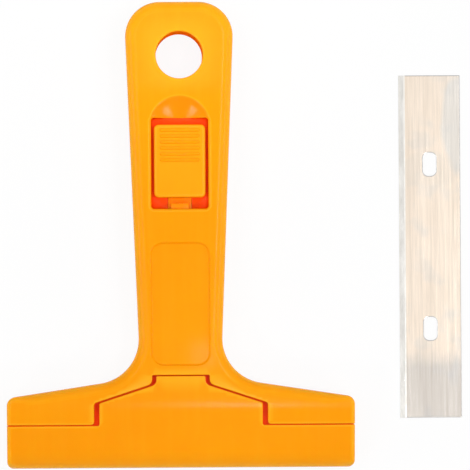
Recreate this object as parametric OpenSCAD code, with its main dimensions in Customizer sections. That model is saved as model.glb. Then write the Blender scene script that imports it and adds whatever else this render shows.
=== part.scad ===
// Razor blade scraper: a T-shaped moulded handle whose thumb button slides a razor blade out of the head.
// It lies on its back, with X across the head, Y from the blade towards the hanging end and Z up to the face.
// The origin is on the back face, on the centre line, halfway along the scraper.

/* [Blade] */
// Length of the razor blade
blade_l = 100; // [92:1:108]
// Width of the razor blade, from the cutting edge to its back
blade_w = 18; // [16:0.5:20]
// Thickness of the razor blade
blade_t = 0.5; // [0.4:0.05:0.6]
// Width of the ground bevel along the cutting edge
bevel_w = 1.7; // [1:0.1:2.5]
// Distance between the middles of the two slots
slot_pitch = 48; // [40:1:56]
// Length of a slot along the blade
slot_l = 6.8; // [5.5:0.1:8]
// Width of a slot across the blade
slot_w = 3.9; // [3.4:0.1:4.6]
// How far the blade lies inside the nose when it is drawn back
blade_hide = 0.5; // [0.3:0.1:1]
// Clear space between the head and the loose blade
spare_gap = 13.9; // [6:0.1:20]
// How far the loose blade's middle lies below the middle of the scraper
spare_drop = 3.5; // [0:0.5:10]

/* [Handle] */
// Overall length, from the nose to the hanging end
total_l = 135; // [125:1:150]
// Thickness of the handle
body_t = 15; // [14:0.5:17]
// Width of the handle, with its sides carried on to the hanging end
end_w = 32; // [29:0.5:36]
// Width of the handle at the neck
neck_w = 24.2; // [22:0.2:27]
// Height of the neck above the nose
neck_h = 37.4; // [34:0.2:41]
// Radius of the corners at the hanging end
end_r = 10; // [8:0.5:12]
// Radius between the neck and a wing
neck_r = 13; // [10:0.5:15]
// Rounding of the long edges
edge_r = 3; // [2:0.25:3.5]
// Side wall of the mouldings
wall = 2; // [1.6:0.1:2.4]
// Thickness of the face
skin = 2.6; // [2.4:0.1:3]

/* [Hanging hole] */
// Diameter of the hanging hole
hole_d = 13.6; // [10:0.2:15]
// Distance from the hanging end to the middle of the hole
hole_from_end = 15.5; // [14:0.5:17]

/* [Head] */
// Slope of the top of a wing, in degrees
wing_slope = 8.7; // [6:0.1:11]
// Wall above the back of the blade at the end of a wing
wing_wall = 1.7; // [1.4:0.1:3]
// Wall of the head beyond the end of the blade
blade_end_gap = 0.3; // [0.2:0.05:0.6]
// Radius of the upper corner of a wing
wing_r = 2.6; // [1.5:0.1:2.8]
// Radius of the lower corner of the head
nose_r = 1.9; // [1:0.1:2.5]
// Height of the ridge on the head above the nose
ridge_h = 18.5; // [16:0.5:21]
// Slope of the face below the ridge, in degrees
face_slope = 9; // [6:0.5:12]
// Length of the rounding at the front of the nose
nose_l = 5.2; // [4:0.2:6.5]
// Length of the rounding at the back of the nose
heel_l = 6; // [4.5:0.2:7.5]

/* [Head cover] */
// Height of the seam on the wings above the nose
seam_h = 12.3; // [11:0.1:13.5]
// Half width of the cover at its step
step_half = 23.6; // [21:0.2:27]
// Height of the step above the seam
step_rise = 6.5; // [5:0.1:8]
// Rise of the cover's shoulder above the step
shoulder_rise = 5.4; // [4:0.1:7]
// Half width of the tab at the top of the cover
tab_half = 7.1; // [6.5:0.1:8]
// Height of the tab above the shoulder
tab_rise = 2.4; // [2.2:0.1:3.5]
// Gap beside the step
step_gap = 1.5; // [0.5:0.1:2]
// Gap beside the tab
tab_gap = 1.2; // [0.5:0.1:1.6]
// Gap along the shoulder
shoulder_gap = 0.5; // [0.2:0.1:1]
// Gap along the level seams
seam_gap = 0.3; // [0.2:0.05:0.6]
// How far the cover's lip reaches in under the face
lip_w = 1.6; // [1.2:0.1:2]

/* [Slide button] */
// Width of the window
window_w = 16.6; // [16:0.2:18.4]
// Length of the window
window_l = 26.4; // [24:0.2:29]
// Distance from the hanging end to the window
window_from_end = 33.7; // [32.5:0.2:36]
// Travel of the button, which is also the travel of the blade
travel = 3; // [2:0.25:4]
// Gap on either side of the button
button_side_gap = 0.85; // [0.5:0.05:2]
// Gap behind the button when the blade is drawn back
button_back_gap = 2; // [1:0.1:3]
// How far the button's top lies below the face
button_sink = 0.4; // [0.2:0.1:1]
// Number of thumb ribs
rib_count = 6; // [3:1:7]
// Distance between thumb ribs
rib_pitch = 1.73; // [1.4:0.01:2]
// Height of a thumb rib
rib_rise = 0.4; // [0.2:0.05:0.7]
// Radius of the outline of the thumb scoop
scoop_r = 8.85; // [8:0.05:9.5]
// Depth of the thumb scoop
scoop_depth = 3.2; // [2:0.1:4]
// Width of the bar that the button drives
bar_w = 6.8; // [6:0.1:8]
// Thickness of the bar
bar_t = 2.5; // [2:0.1:3]

/* [Grip panel] */
// Width of the sunk panel
panel_w = 17.5; // [14:0.5:18]
// Length of the sunk panel
panel_l = 36; // [30:0.5:37]
// Distance from the hanging end to the panel
panel_from_end = 69.6; // [66:0.2:71]
// Depth of the sunk panel
panel_depth = 0.7; // [0.3:0.1:1]
// Radius of the panel's corners
panel_r = 3.8; // [2:0.2:5]

/* [Screws] */
// Thread diameter of a case screw
case_d = 2.6; // [2.2:0.1:3]
// Head diameter of a case screw
case_head_d = 4.2; // [3.8:0.1:4.6]
// Thread diameter of a drive screw
drive_d = 2.2; // [1.8:0.1:2.4]
// Head diameter of a drive screw
drive_head_d = 4; // [3.4:0.1:4.4]

/* [Hidden] */
$fn = 48;
// Overrun of every cut
over = 1;
// Running clearance between sliding pieces
fit = 0.1;
// Clearance around a screw
screw_fit = 0.05;
// Smallest corner radius
least_r = 0.05;
// Steps in a corner, in an edge rounding and in the nose
arc_steps = 8;
edge_steps = 5;
nose_steps = 8;

// Ends of the scraper
y_nose = -total_l / 2;
y_end = total_l / 2;

// Levels
part_z = body_t / 2;
ceil_z = body_t - skin;
blade_top_z = part_z - fit;
blade_low_z = blade_top_z - blade_t;
seat_z = blade_low_z - fit;
cover_z = part_z + fit / 2;

// Blade, drawn back in the head
head_half = blade_l / 2 + blade_end_gap;
blade_y = y_nose + blade_hide + blade_w / 2;
blade_back_y = blade_y + blade_w / 2;
chamber_top_y = blade_back_y + 2 * fit;
wing_y = chamber_top_y + wing_wall;
edge_t_share = 0.12;
slot_r_share = 0.4;
slot_r = slot_w * slot_r_share;

// Outline of the T: lower corner, wing corner, neck, hanging end, and the same on the left
wing_rise = tan(wing_slope);
taper = (end_w - neck_w) / 2 / (y_end - y_nose - neck_h);
neck_x = (end_w / 2 - taper * (y_end - wing_y - wing_rise * head_half)) / (1 + taper * wing_rise);
neck_y = wing_y + (head_half - neck_x) * wing_rise;
right_corners = [[head_half, y_nose], [head_half, wing_y], [neck_x, neck_y], [end_w / 2, y_end]];
corners = concat(right_corners, [for (k = [3:-1:0]) [-right_corners[k].x, right_corners[k].y]]);
corner_radii = [nose_r, wing_r, neck_r, end_r, end_r, neck_r, wing_r, nose_r];
// How much of the edge rounding each side of the outline gets
end_share = 0.45;
side_shares = [end_share, 1, 1, 1, 1, 1, end_share, 0];
even_shares = [1, 1, 1, 1, 1, 1, 1, 1];

// Nose, seen from the side
lip_rise = 0.35;
nose_front_z = cover_z + lip_rise;
nose_back_z = seat_z - lip_rise;

// Head cover
seam_y = y_nose + seam_h;
step_y = seam_y + step_rise;
foot_y = step_y + shoulder_rise;
tab_y = foot_y + tab_rise;
shoulder_run = shoulder_rise / (step_half - tab_half);
step_r = 0.6;
foot_r_share = 0.75;
tab_r = 0.4;
opening_r_share = 1.5;
lip_t = 1.2;
lip_z = ceil_z - fit - lip_t;
cover_wall = 2.2;
cover_rib_t = 1.6;
cover_rib_shares = [-0.7, -0.3, 0.3, 0.7];
pocket_z = lip_z + fit;

// Window and button
window_y = y_end - window_from_end;
window_low_y = window_y - window_l;
window_r = 0.9;
window_bevel = 0.7;
stop_gap = 0.3;
button_half = window_w / 2 - button_side_gap;
button_y = window_y - button_back_gap;
button_l = window_l - button_back_gap - travel - stop_gap;
button_low_y = button_y - button_l;
button_z = body_t - button_sink;
button_r = 1.4;
button_edge = 0.9;
rail_share = 0.75;
rail_half = window_w / 2 + button_side_gap * rail_share;
rail_t = 1.5;
ear_lap = 1;
rail_y = window_y - 3 * fit;
ear_low_y = window_low_y - ear_lap;
rib_inset = 1.65;
rib_first = 0.7;
rib_half = button_half - rib_inset;

// Thumb scoop, a hollow cut by a ball
scoop_set = 2.4;
scoop_y = window_y - scoop_set;
scoop_ball_r = (scoop_r * scoop_r + scoop_depth * scoop_depth) / (2 * scoop_depth);
scoop_floor_z = max(body_t - scoop_depth - wall, part_z + bar_t);

// Grip panel
panel_y = y_end - panel_from_end;
panel_draft = 0.5;

// Blade carrier
carrier_t = 2.6;
carrier_lap = 1.5;
carrier_z = blade_low_z - carrier_t;
carrier_half = (slot_pitch + slot_l) / 2 + carrier_lap;
carrier_low_y = blade_y - slot_w / 2 - carrier_lap;
carrier_top_y = blade_y + slot_w / 2 + carrier_lap;
post_fit = 0.15;
stem_w = 10;

// Drive bar
bar_z = blade_low_z;
bar_top_z = bar_z + bar_t;
joint_l = 8;
joint_gap = 1;
bar_low_y = tab_y + seam_gap + travel + joint_gap;
stem_y = bar_low_y + joint_l;
joint_y = bar_low_y + joint_l / 2;
bar_tail = 4.6;
bar_y = button_y + bar_tail;
tooth_skin = 1.2;
tooth_z = body_t - tooth_skin - fit;
tooth_half_share = 0.39;
tooth_half = bar_w * tooth_half_share;
tooth_back = 1.65;
tooth_l = 2.3;
tooth_y = window_low_y + tooth_back;
keel_half_share = 0.45;
keel_half = bar_w * keel_half_share;
tongue_z = ceil_z - 2 * fit;
tongue_low_y = tooth_y - tooth_l;
ear_x = bar_w / 2 + 2 * fit;

// Screws
drive_head_h = 1.4;
button_screw_back = 3.3;
button_screw_y = button_y - button_screw_back;
button_screw_grip = 2.8;
case_head_h = 1.7;
case_sink = 0.6;
case_tip = 0.8;
case_seat_z = case_sink + case_head_h;
case_tip_z = ceil_z - case_tip;
boss_wall = 1.45;
boss_d = case_d + 2 * boss_wall;
top_screw_side = 1.9;
top_screw_rise = 7.7;
low_screw_rise = 2.9;
low_screw_half = tab_half + boss_d / 2 + fit;
case_places = [
    [window_w / 2 + top_screw_side, window_y + top_screw_rise],
    [-window_w / 2 - top_screw_side, window_y + top_screw_rise],
    [low_screw_half, tab_y + low_screw_rise],
    [-low_screw_half, tab_y + low_screw_rise]
];
recess_d_share = 0.6;
recess_h_share = 0.5;

// Hanging hole
collar_d = hole_d + 2 * wall;
hole_y = y_end - hole_from_end;
hole_rim = 0.5;

// Inside of the back half
block_wall = 3.3;
block_y = chamber_top_y + block_wall;
rail_rib_t = 1.2;
saddle_l = 2;
saddle_t = 1.6;
saddle_rise = 1.8;
saddle_gap = 2.4;
saddle_places = [
    stem_y + saddle_gap,
    window_low_y - travel - saddle_gap - saddle_l,
    bar_y - travel - saddle_l - 4 * fit
];
cell_gap = 2.4;
cell_count = 2;
cell_floor = 2.4;
cell_low = 4.5;
cell_x = carrier_half + cell_gap;
cell_w = (head_half - cell_x - cell_gap) / cell_count - cell_gap / cell_count;
cell_top_y = blade_back_y - cell_gap;

// Detent spring, a leaf staked under the bar, and the notched rack below it
leaf_t = 0.4;
leaf_w = 5;
stake_d = 1.8;
stake_fit = 0.15;
stake_head_d = 3.2;
stake_head_h = 0.6;
stake_gap = 4.7;
stake_lap = 2;
stake_y = button_screw_y - stake_gap;
leaf_run = 6;
leaf_tip_l = 0.7;
leaf_curl = 2.4;
leaf_curl_rise = 1.6;
rack_rise = 1.5;
notch_depth = 0.6;
notch_half = 1.4;
rack_w = 4;
rack_end = 2.2;
rack_z = wall + rack_rise;
notch_z = rack_z - notch_depth;
leaf_z = bar_z - leaf_t / 2 - fit / 2;
leaf_low_z = notch_z + (leaf_tip_l + leaf_t) / 2 * notch_depth / notch_half + fit + leaf_t / 2;
bump_y = stake_y - stake_lap - leaf_run;

orange = [0.98, 0.62, 0.06];
dark_orange = [0.9, 0.52, 0.04];
steel = [0.78, 0.78, 0.76];

// Outlines: straight sides with an arc at each corner
function unit(v) = v / norm(v);
function left_of(v) = [-v.y, v.x];
function before(p, k) = p[(k + len(p) - 1) % len(p)];
function after(p, k) = p[(k + 1) % len(p)];

// Corner k of outline p after each side has moved inwards by its own inset
function inset_corner(p, insets, k) =
    let (u = unit(p[k] - before(p, k)))
    let (v = unit(after(p, k) - p[k]))
    let (a = p[k] + left_of(u) * before(insets, k))
    let (b = p[k] + left_of(v) * insets[k])
    a + u * cross(b - a, v) / cross(u, v);

function inset(p, insets) = [for (k = [0:len(p) - 1]) inset_corner(p, insets, k)];

// Points of the arc that rounds corner k of outline p
function corner_arc(p, radii, k) =
    let (u = unit(p[k] - before(p, k)))
    let (v = unit(after(p, k) - p[k]))
    let (turn = atan2(cross(u, v), u * v))
    let (start = p[k] - u * radii[k] * tan(abs(turn) / 2))
    let (centre = start + left_of(u) * sign(turn) * radii[k])
    let (arm = start - centre)
    [for (j = [0:arc_steps]) let (a = turn * j / arc_steps) centre + arm * cos(a) + left_of(arm) * sin(a)];

function rounded(p, radii) = [for (k = [0:len(p) - 1]) each corner_arc(p, radii, k)];

// Outline of the T with its sides moved inwards: outer corners tighten and the two neck corners widen
function body_radius(k, d, shares) =
    (k == 2 || k == 5) ? neck_r + d : max(corner_radii[k] - d * min(before(shares, k), shares[k]), least_r);

function body_outline(d, shares) =
    rounded(inset(corners, shares * d), [for (k = [0:len(corners) - 1]) body_radius(k, d, shares)]);

// Rounded rectangle around a middle point
function plate(mid, half, r) =
    let (x = [mid.x - half.x, mid.x + half.x])
    let (y = [mid.y - half.y, mid.y + half.y])
    rounded([[x[1], y[0]], [x[1], y[1]], [x[0], y[1]], [x[0], y[0]]], [r, r, r, r]);

// Outline of the head cover, grown by a gap at its seams, steps, shoulders and tab
function cover_outline(seam, step, shoulder, tab, r_share) =
    let (far = head_half + over)
    let (step_top = step_y + shoulder - step * shoulder_run)
    let (foot = foot_y + shoulder - tab * shoulder_run)
    let (right = [
        [far, y_nose - over],
        [far, seam_y + seam],
        [step_half + step, seam_y + seam],
        [step_half + step, step_top],
        [tab_half + tab, foot],
        [tab_half + tab, tab_y + seam]
    ])
    let (corner_r = step_r * r_share)
    let (radii = [least_r, least_r, corner_r, corner_r, tab_rise * foot_r_share, tab_r])
    let (left = [for (k = [5:-1:0]) [-right[k].x, right[k].y]])
    rounded(concat(right, left), concat(radii, [for (k = [5:-1:0]) radii[k]]));

// Solid through outlines of equal length, each a list of points and a height.
// Every outline runs up its right side and down its left side, so its ends are closed by strips across.
module skin_through(layers) {
    n = len(layers[0][0]);
    last = len(layers) - 1;
    points = [for (layer = layers) for (p = layer[0]) [p.x, p.y, layer[1]]];
    low = [for (k = [0:last - 1]) for (i = [0:n - 1]) [k * n + i, (k + 1) * n + i, k * n + (i + 1) % n]];
    high = [for (k = [0:last - 1]) for (i = [0:n - 1])
        [(k + 1) * n + i, (k + 1) * n + (i + 1) % n, k * n + (i + 1) % n]];
    strips = [for (i = [0:n / 2 - 2]) each [[i, i + 1, n - 2 - i], [i, n - 2 - i, n - 1 - i]]];
    top = [for (face = strips) [for (i = [2:-1:0]) last * n + face[i]]];
    polyhedron(points, concat(strips, low, high, top));
}

module slab(half, y0, y1, z0, z1) {
    translate([-half, y0, z0]) cube([2 * half, y1 - y0, z1 - z0]);
}

module peg(place, z0, z1, d) {
    translate([place.x, place.y, z0]) cylinder(d = d, h = z1 - z0);
}

module plan(z0, z1, outline) {
    translate([0, 0, z0]) linear_extrude(z1 - z0) polygon(outline);
}

module along_x(half) {
    rotate([90, 0, 90]) translate([0, 0, -half]) linear_extrude(2 * half) children();
}

// Whole outer form of handle and head
module body_form() {
    back = [for (i = [0:edge_steps]) let (a = 90 * i / edge_steps)
        [body_outline(edge_r * (1 - sin(a)), side_shares), edge_r * (1 - cos(a))]];
    front = [for (i = [0:edge_steps]) let (a = 90 * i / edge_steps)
        [body_outline(edge_r * (1 - cos(a)), side_shares), body_t - edge_r * (1 - sin(a))]];
    intersection() {
        skin_through(concat(back, front));
        along_x(head_half + over) polygon(side_outline());
    }
}

// Height of the sloping face below the ridge
function face_z(y) = body_t - (y_nose + ridge_h - y) * tan(face_slope);

// Side view of the head: nose, sloping face and heel
function side_outline() =
    let (nose_drop = face_z(y_nose) - nose_front_z)
    let (nose = [for (i = [0:nose_steps])
        let (a = 90 * i / nose_steps)
        let (y = y_nose + nose_l * (1 - cos(a)))
        [y, face_z(y) - nose_drop * (1 - sin(a))]])
    let (heel = [for (i = [nose_steps:-1:0]) let (a = 90 * i / nose_steps)
        [y_nose + heel_l * (1 - cos(a)), nose_back_z * (1 - sin(a))]])
    concat(
        nose,
        [[y_nose + ridge_h + over / tan(face_slope), body_t + over]],
        [[y_end + over, body_t + over], [y_end + over, -over], [y_nose + heel_l + over, -over]],
        heel
    );

module handle_hole() {
    peg([0, hole_y], -over, body_t + over, hole_d);
}

module hole_rim_cut(z, up) {
    translate([0, hole_y, z]) mirror([0, 0, up ? 0 : 1]) translate([0, 0, -hole_rim])
        cylinder(d1 = hole_d, d2 = hole_d + 4 * hole_rim, h = 2 * hole_rim);
}

module handle_front() color(orange) difference() {
    union() {
        difference() {
            intersection() {
                body_form();
                slab(head_half + over, y_nose - over, y_end + over, part_z, body_t + over);
            }
            plan(part_z - over, ceil_z, body_outline(wall, even_shares));
        }
        peg([0, hole_y], part_z, ceil_z + fit, collar_d);
        for (place = case_places) peg(place, part_z, ceil_z + fit, boss_d);
        slab(scoop_r + wall / 2, window_y, scoop_y + scoop_r + wall / 2, scoop_floor_z, ceil_z + fit);
    }
    plan(part_z - over, body_t + over,
        cover_outline(seam_gap, step_gap, shoulder_gap, tab_gap, opening_r_share));
    handle_hole();
    hole_rim_cut(body_t, true);
    window_cut();
    translate([0, scoop_y, body_t - scoop_depth + scoop_ball_r]) sphere(r = scoop_ball_r, $fn = 96);
    panel_cut();
    slab(bar_w / 2 + 4 * fit, tooth_y - tooth_l - travel - 4 * fit, window_low_y + over,
        ceil_z - over, tooth_z + fit);
    for (place = case_places) peg(place, part_z - over, case_tip_z + 2 * fit, case_d + 2 * screw_fit);
}

module window_cut() {
    mid = [0, window_y - window_l / 2];
    half = [window_w / 2, window_l / 2];
    bevel = [window_bevel, window_bevel];
    flare = bevel * (window_bevel + over) / window_bevel;
    skin_through([
        [plate(mid, half, window_r), scoop_floor_z - over],
        [plate(mid, half, window_r), body_t - window_bevel],
        [plate(mid, half + flare, window_r + flare.x), body_t + over]
    ]);
}

module panel_cut() {
    mid = [0, panel_y - panel_l / 2];
    half = [panel_w / 2, panel_l / 2];
    draft = [panel_draft, panel_draft];
    flare = draft * over / panel_depth;
    skin_through([
        [plate(mid, half - draft, panel_r - panel_draft), body_t - panel_depth],
        [plate(mid, half + flare, panel_r + flare.x), body_t + over]
    ]);
}

module handle_back() color(dark_orange) difference() {
    union() {
        difference() {
            intersection() {
                body_form();
                slab(head_half + over, y_nose - over, y_end + over, -over, part_z);
            }
            intersection() {
                plan(wall, part_z + over, body_outline(wall, even_shares));
                slab(head_half, block_y, y_end, 0, body_t);
            }
        }
        peg([0, hole_y], wall - fit, part_z, collar_d);
        for (place = case_places) peg(place, wall - fit, part_z, boss_d);
        for (y = saddle_places) saddle(y);
        for (side = [-1, 1]) translate([side * (stem_w - rail_rib_t) / 2, 0, 0])
            slab(rail_rib_t / 2, block_y - fit, stem_y, wall - fit, carrier_z - fit);
        slab(rack_w / 2, bump_y - travel - rack_end, bump_y + rack_end, wall - fit, rack_z);
    }
    handle_hole();
    hole_rim_cut(0, false);
    for (place = case_places) {
        peg(place, -over, case_seat_z, case_head_d + 4 * fit);
        peg(place, 0, part_z + over, case_d + 4 * fit);
    }
    slab(head_half + over, y_nose - over, chamber_top_y, seat_z, part_z + over);
    slab(carrier_half + 2 * fit, carrier_low_y - travel - 2 * fit, carrier_top_y + 2 * fit,
        carrier_z - fit, part_z);
    slab(stem_w / 2 + 2 * fit, blade_y, block_y + over, carrier_z - fit, part_z + over);
    for (side = [-1, 1]) for (k = [0:cell_count - 1])
        translate([side * (cell_x + cell_w / 2 + k * (cell_w + cell_gap)), 0, 0])
            slab(cell_w / 2, y_nose + cell_low, cell_top_y, cell_floor, part_z);
    for (y = [bump_y, bump_y - travel])
        along_x(rack_w / 2 + over) polygon([[y, notch_z], [y + 2 * notch_half, rack_z + notch_depth],
            [y - 2 * notch_half, rack_z + notch_depth]]);
}

// Cradle that carries the bar and keeps it straight
module saddle(y) {
    difference() {
        slab(bar_w / 2 + fit + saddle_t, y, y + saddle_l, wall - fit, bar_z + saddle_rise);
        slab(bar_w / 2 + fit, y - over, y + saddle_l + over, bar_z - fit, bar_z + saddle_rise + over);
    }
}

module head_cover() color(orange) difference() {
    union() {
        intersection() {
            body_form();
            plan(cover_z, body_t + over, cover_outline(0, 0, 0, 0, 1));
        }
        intersection() {
            union() {
                plan(lip_z, lip_z + lip_t, cover_outline(lip_w, lip_w + step_gap, lip_w, -tab_gap, 1));
                slab(tab_half + tab_gap + 2 * fit, foot_y, tab_y + seam_gap, lip_z, lip_z + lip_t);
            }
            slab(head_half, y_nose + nose_l, y_end, 0, body_t);
            plan(lip_z - over, lip_z + lip_t + over, body_outline(wall + 2 * fit, even_shares));
        }
    }
    difference() {
        intersection() {
            plan(cover_z - over, pocket_z,
                cover_outline(-cover_wall, -cover_wall, -cover_wall, -cover_wall, 1));
            slab(head_half - cover_wall, y_nose + nose_l, tab_y, 0, body_t);
        }
        for (share = cover_rib_shares) translate([share * head_half, 0, 0])
            slab(cover_rib_t / 2, y_nose, tab_y, 0, body_t);
    }
}

module slide_button() color(orange) difference() {
    mid = [0, button_y - button_l / 2];
    half = [button_half, button_l / 2];
    rail_z = ceil_z - fit;
    union() {
        skin_through(concat(
            [[plate(mid, half, button_r), rail_z - rail_t]],
            [for (i = [0:edge_steps]) let (a = 90 * i / edge_steps) let (d = button_edge * (1 - cos(a)))
                [plate(mid, half - [d, d], button_r - d), button_z - button_edge * (1 - sin(a))]]
        ));
        slab(rail_half, button_low_y, rail_y, rail_z - rail_t, rail_z);
        for (side = [-1, 1]) translate([side * (rail_half + ear_x) / 2, 0, 0])
            slab((rail_half - ear_x) / 2, ear_low_y, button_low_y + over, rail_z - rail_t, rail_z);
        slab(keel_half, button_low_y, button_y, bar_top_z, rail_z);
        for (k = [0:rib_count - 1])
            translate([0, button_y - rib_first - k * rib_pitch - rib_pitch / 2, button_z]) thumb_rib();
    }
    peg([0, button_screw_y], bar_top_z - over, bar_top_z + button_screw_grip + 2 * fit,
        drive_d + 2 * screw_fit);
}

// Thumb rib: a bar with a round back
module thumb_rib() {
    base = rib_pitch / 2;
    r = (base * base / 4 + rib_rise * rib_rise) / (2 * rib_rise);
    intersection() {
        translate([-rib_half, 0, rib_rise - r]) rotate([0, 90, 0]) cylinder(r = r, h = 2 * rib_half);
        slab(rib_half, -rib_pitch, rib_pitch, -button_edge, rib_rise + over);
    }
}

module drive_bar() color(dark_orange) difference() {
    union() {
        slab(bar_w / 2, bar_low_y, bar_y, bar_z, bar_top_z);
        slab(tooth_half, tooth_y - tooth_l, tooth_y, bar_top_z - fit, tooth_z);
        slab(bar_w / 2, tongue_low_y, button_low_y - fit, bar_top_z - fit, tongue_z);
        peg([0, stake_y], bar_z - leaf_t - 2 * fit - stake_head_h, bar_z + fit, stake_d);
        peg([0, stake_y], bar_z - leaf_t - 2 * fit - stake_head_h, bar_z - leaf_t - 2 * fit, stake_head_d);
    }
    for (y = [joint_y, button_screw_y]) peg([0, y], bar_z - over, bar_top_z + over, drive_d + 2 * screw_fit);
}

module blade_carrier() color(dark_orange) difference() {
    union() {
        slab(carrier_half, carrier_low_y, carrier_top_y, carrier_z, blade_low_z);
        slab(stem_w / 2, carrier_low_y, stem_y, carrier_z, blade_low_z);
        for (side = [-1, 1])
            plan(blade_low_z - fit, part_z, plate([side * slot_pitch / 2, blade_y],
                [slot_l / 2 - post_fit, slot_w / 2 - post_fit], slot_r - post_fit));
    }
    peg([0, joint_y], carrier_z - over, blade_low_z + over, drive_d + 2 * screw_fit);
}

// Razor blade around its own middle, with the cutting edge towards -Y and its underside at zero height
module blade() {
    edge_t = blade_t * edge_t_share;
    difference() {
        along_x(blade_l / 2) polygon([
            [-blade_w / 2, (blade_t - edge_t) / 2],
            [-blade_w / 2 + bevel_w, 0],
            [blade_w / 2, 0],
            [blade_w / 2, blade_t],
            [-blade_w / 2 + bevel_w, blade_t],
            [-blade_w / 2, (blade_t + edge_t) / 2]
        ]);
        for (side = [-1, 1])
            plan(-over, blade_t + over, plate([side * slot_pitch / 2, 0], [slot_l / 2, slot_w / 2], slot_r));
    }
}

module razor_blade() color(steel) translate([0, blade_y, blade_low_z]) blade();

module spare_blade() color(steel) translate([head_half + spare_gap + blade_w / 2, -spare_drop, 0])
    rotate([0, 0, -90]) blade();

// Leaf spring: flat where it is staked, then down to a bump that rests in a notch, and a curled tip
module detent_spring() color(steel) difference() {
    line = [
        [stake_y + stake_lap, leaf_z],
        [stake_y - stake_lap, leaf_z],
        [bump_y + leaf_tip_l / 2, leaf_low_z],
        [bump_y - leaf_tip_l / 2, leaf_low_z],
        [bump_y - leaf_curl, leaf_low_z + leaf_curl_rise]
    ];
    along_x(leaf_w / 2) polygon(concat(
        [for (k = [0:len(line) - 1]) leaf_side(line, k, leaf_t / 2)],
        [for (k = [len(line) - 1:-1:0]) leaf_side(line, k, -leaf_t / 2)]
    ));
    peg([0, stake_y], leaf_z - over, leaf_z + over, stake_d + 2 * stake_fit);
}

function leaf_side(line, k, d) =
    line[k] + left_of(unit(line[min(k + 1, len(line) - 1)] - line[max(k - 1, 0)])) * d;

// Pan head screw, pointing up from the underside of its head
module screw(d, head_d, head_h, l) {
    difference() {
        union() {
            cylinder(d = d, h = l);
            translate([0, 0, -head_h]) cylinder(d = head_d, h = head_h);
        }
        for (a = [0, 90]) rotate([0, 0, a]) translate([0, 0, -head_h - over])
            linear_extrude(over + head_h * recess_h_share)
            square([head_d * recess_d_share, head_d * recess_d_share / 4], center = true);
    }
}

// Screw up through the bar into the button
module button_screw() color(steel) translate([0, button_screw_y, bar_z])
    screw(drive_d, drive_head_d, drive_head_h, bar_t + button_screw_grip);

// Screw down through the bar into the blade carrier
module joint_screw() color(steel) translate([0, joint_y, bar_top_z]) mirror([0, 0, 1])
    screw(drive_d, drive_head_d, drive_head_h, bar_t + carrier_t - 2 * fit);

// Screw from the back into the front half of the handle
module case_screw(place) color(steel) translate([place.x, place.y, case_seat_z])
    screw(case_d, case_head_d, case_head_h, case_tip_z - case_seat_z);

handle_front();
handle_back();
head_cover();
slide_button();
drive_bar();
blade_carrier();
razor_blade();
detent_spring();
button_screw();
joint_screw();
case_screw(case_places[0]);  // case_screw_upper_right
case_screw(case_places[1]);  // case_screw_upper_left
case_screw(case_places[2]);  // case_screw_lower_right
case_screw(case_places[3]);  // case_screw_lower_left
spare_blade();
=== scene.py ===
"""Razor blade scraper: a moulded T handle, a blade on a thumb slide, a pull-off head cover and a loose blade.

Sizes are in millimetres and turn into metres where a mesh is made. X runs across the head, Y from the blade
towards the hanging end and Z up to the face, as in the CAD frame.
"""

import math

import bmesh
import bpy
import numpy as np
from mathutils import Matrix, Vector
from mathutils.geometry import delaunay_2d_cdt


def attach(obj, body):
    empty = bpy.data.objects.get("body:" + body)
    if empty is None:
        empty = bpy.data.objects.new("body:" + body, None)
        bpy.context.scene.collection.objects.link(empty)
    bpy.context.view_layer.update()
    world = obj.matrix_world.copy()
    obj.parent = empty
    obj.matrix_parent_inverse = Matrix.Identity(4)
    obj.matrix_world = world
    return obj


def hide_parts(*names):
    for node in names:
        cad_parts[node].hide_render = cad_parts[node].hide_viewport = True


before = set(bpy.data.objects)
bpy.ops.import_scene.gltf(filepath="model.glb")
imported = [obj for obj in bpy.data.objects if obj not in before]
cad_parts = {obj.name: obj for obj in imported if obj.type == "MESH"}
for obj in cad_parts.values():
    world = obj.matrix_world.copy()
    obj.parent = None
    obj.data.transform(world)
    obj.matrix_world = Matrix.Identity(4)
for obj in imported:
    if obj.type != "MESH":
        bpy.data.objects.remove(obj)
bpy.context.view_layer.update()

MM = 0.001

# Overrun of a cut, overlap of joined shapes, room under a sliding piece and set-back from a shared plane
OVERRUN, OVERLAP, FLOOR_FIT, SHY = 1.0, 0.1, 0.1, 0.002
# Half sizes and heights that clear every piece
CLEAR_X, CLEAR_Y, THROUGH = 60.0, 70.0, (0.0, 20.0)

# Handle and head
NOSE_Y, END_Y = -67.5, 67.5
FACE_Z, PARTING_Z, CEILING_Z = 15.0, 7.5, 12.4
HEAD_HALF, WING_Y, WING_SLOPE = 50.3, -47.1, 8.7
END_HALF, NECK_HALF, NECK_Y = 16.0, 12.1, -30.1
NOSE_R, WING_R, NECK_R, END_R = 1.9, 2.6, 13.0, 10.0
EDGE_R, HEAD_EDGE_R, SEAM_R, SHARP_R = 3.0, 1.2, 0.35, 0.04
BORDER_W, BORDER_LEAN, END_FADE = 3.1, 0.14, 9.0
WALL = 2.0
RIDGE_Y, FACE_SLOPE, RIDGE_SOFT = -49.0, 9.0, 0.7
NOSE_L, NOSE_FRONT_Z, HEEL_L, NOSE_BACK_Z = 5.2, 7.9, 6.0, 6.45
NOSE_END_SHARE, NOSE_END_LEFT = 0.75, 0.25
FACE_BLEND, WINDOW_BLEND, SCOOP_BLEND = 0.35, 0.12, 0.3

# Hanging hole, window, scoop and grip panel
HOLE_Y, HOLE_R, HOLE_RIM, HOLE_TOL, COLLAR_R = 52.0, 6.8, 0.6, 0.01, 8.8
WINDOW_Y, WINDOW_LOW_Y, WINDOW_HALF, WINDOW_R, WINDOW_BEVEL = 33.8, 7.4, 8.3, 0.9, 0.7
SCOOP_Y, SCOOP_R, SCOOP_WALL, SCOOP_UNDER_Z = 31.4, 8.85, 1.0, 10.0
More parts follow.
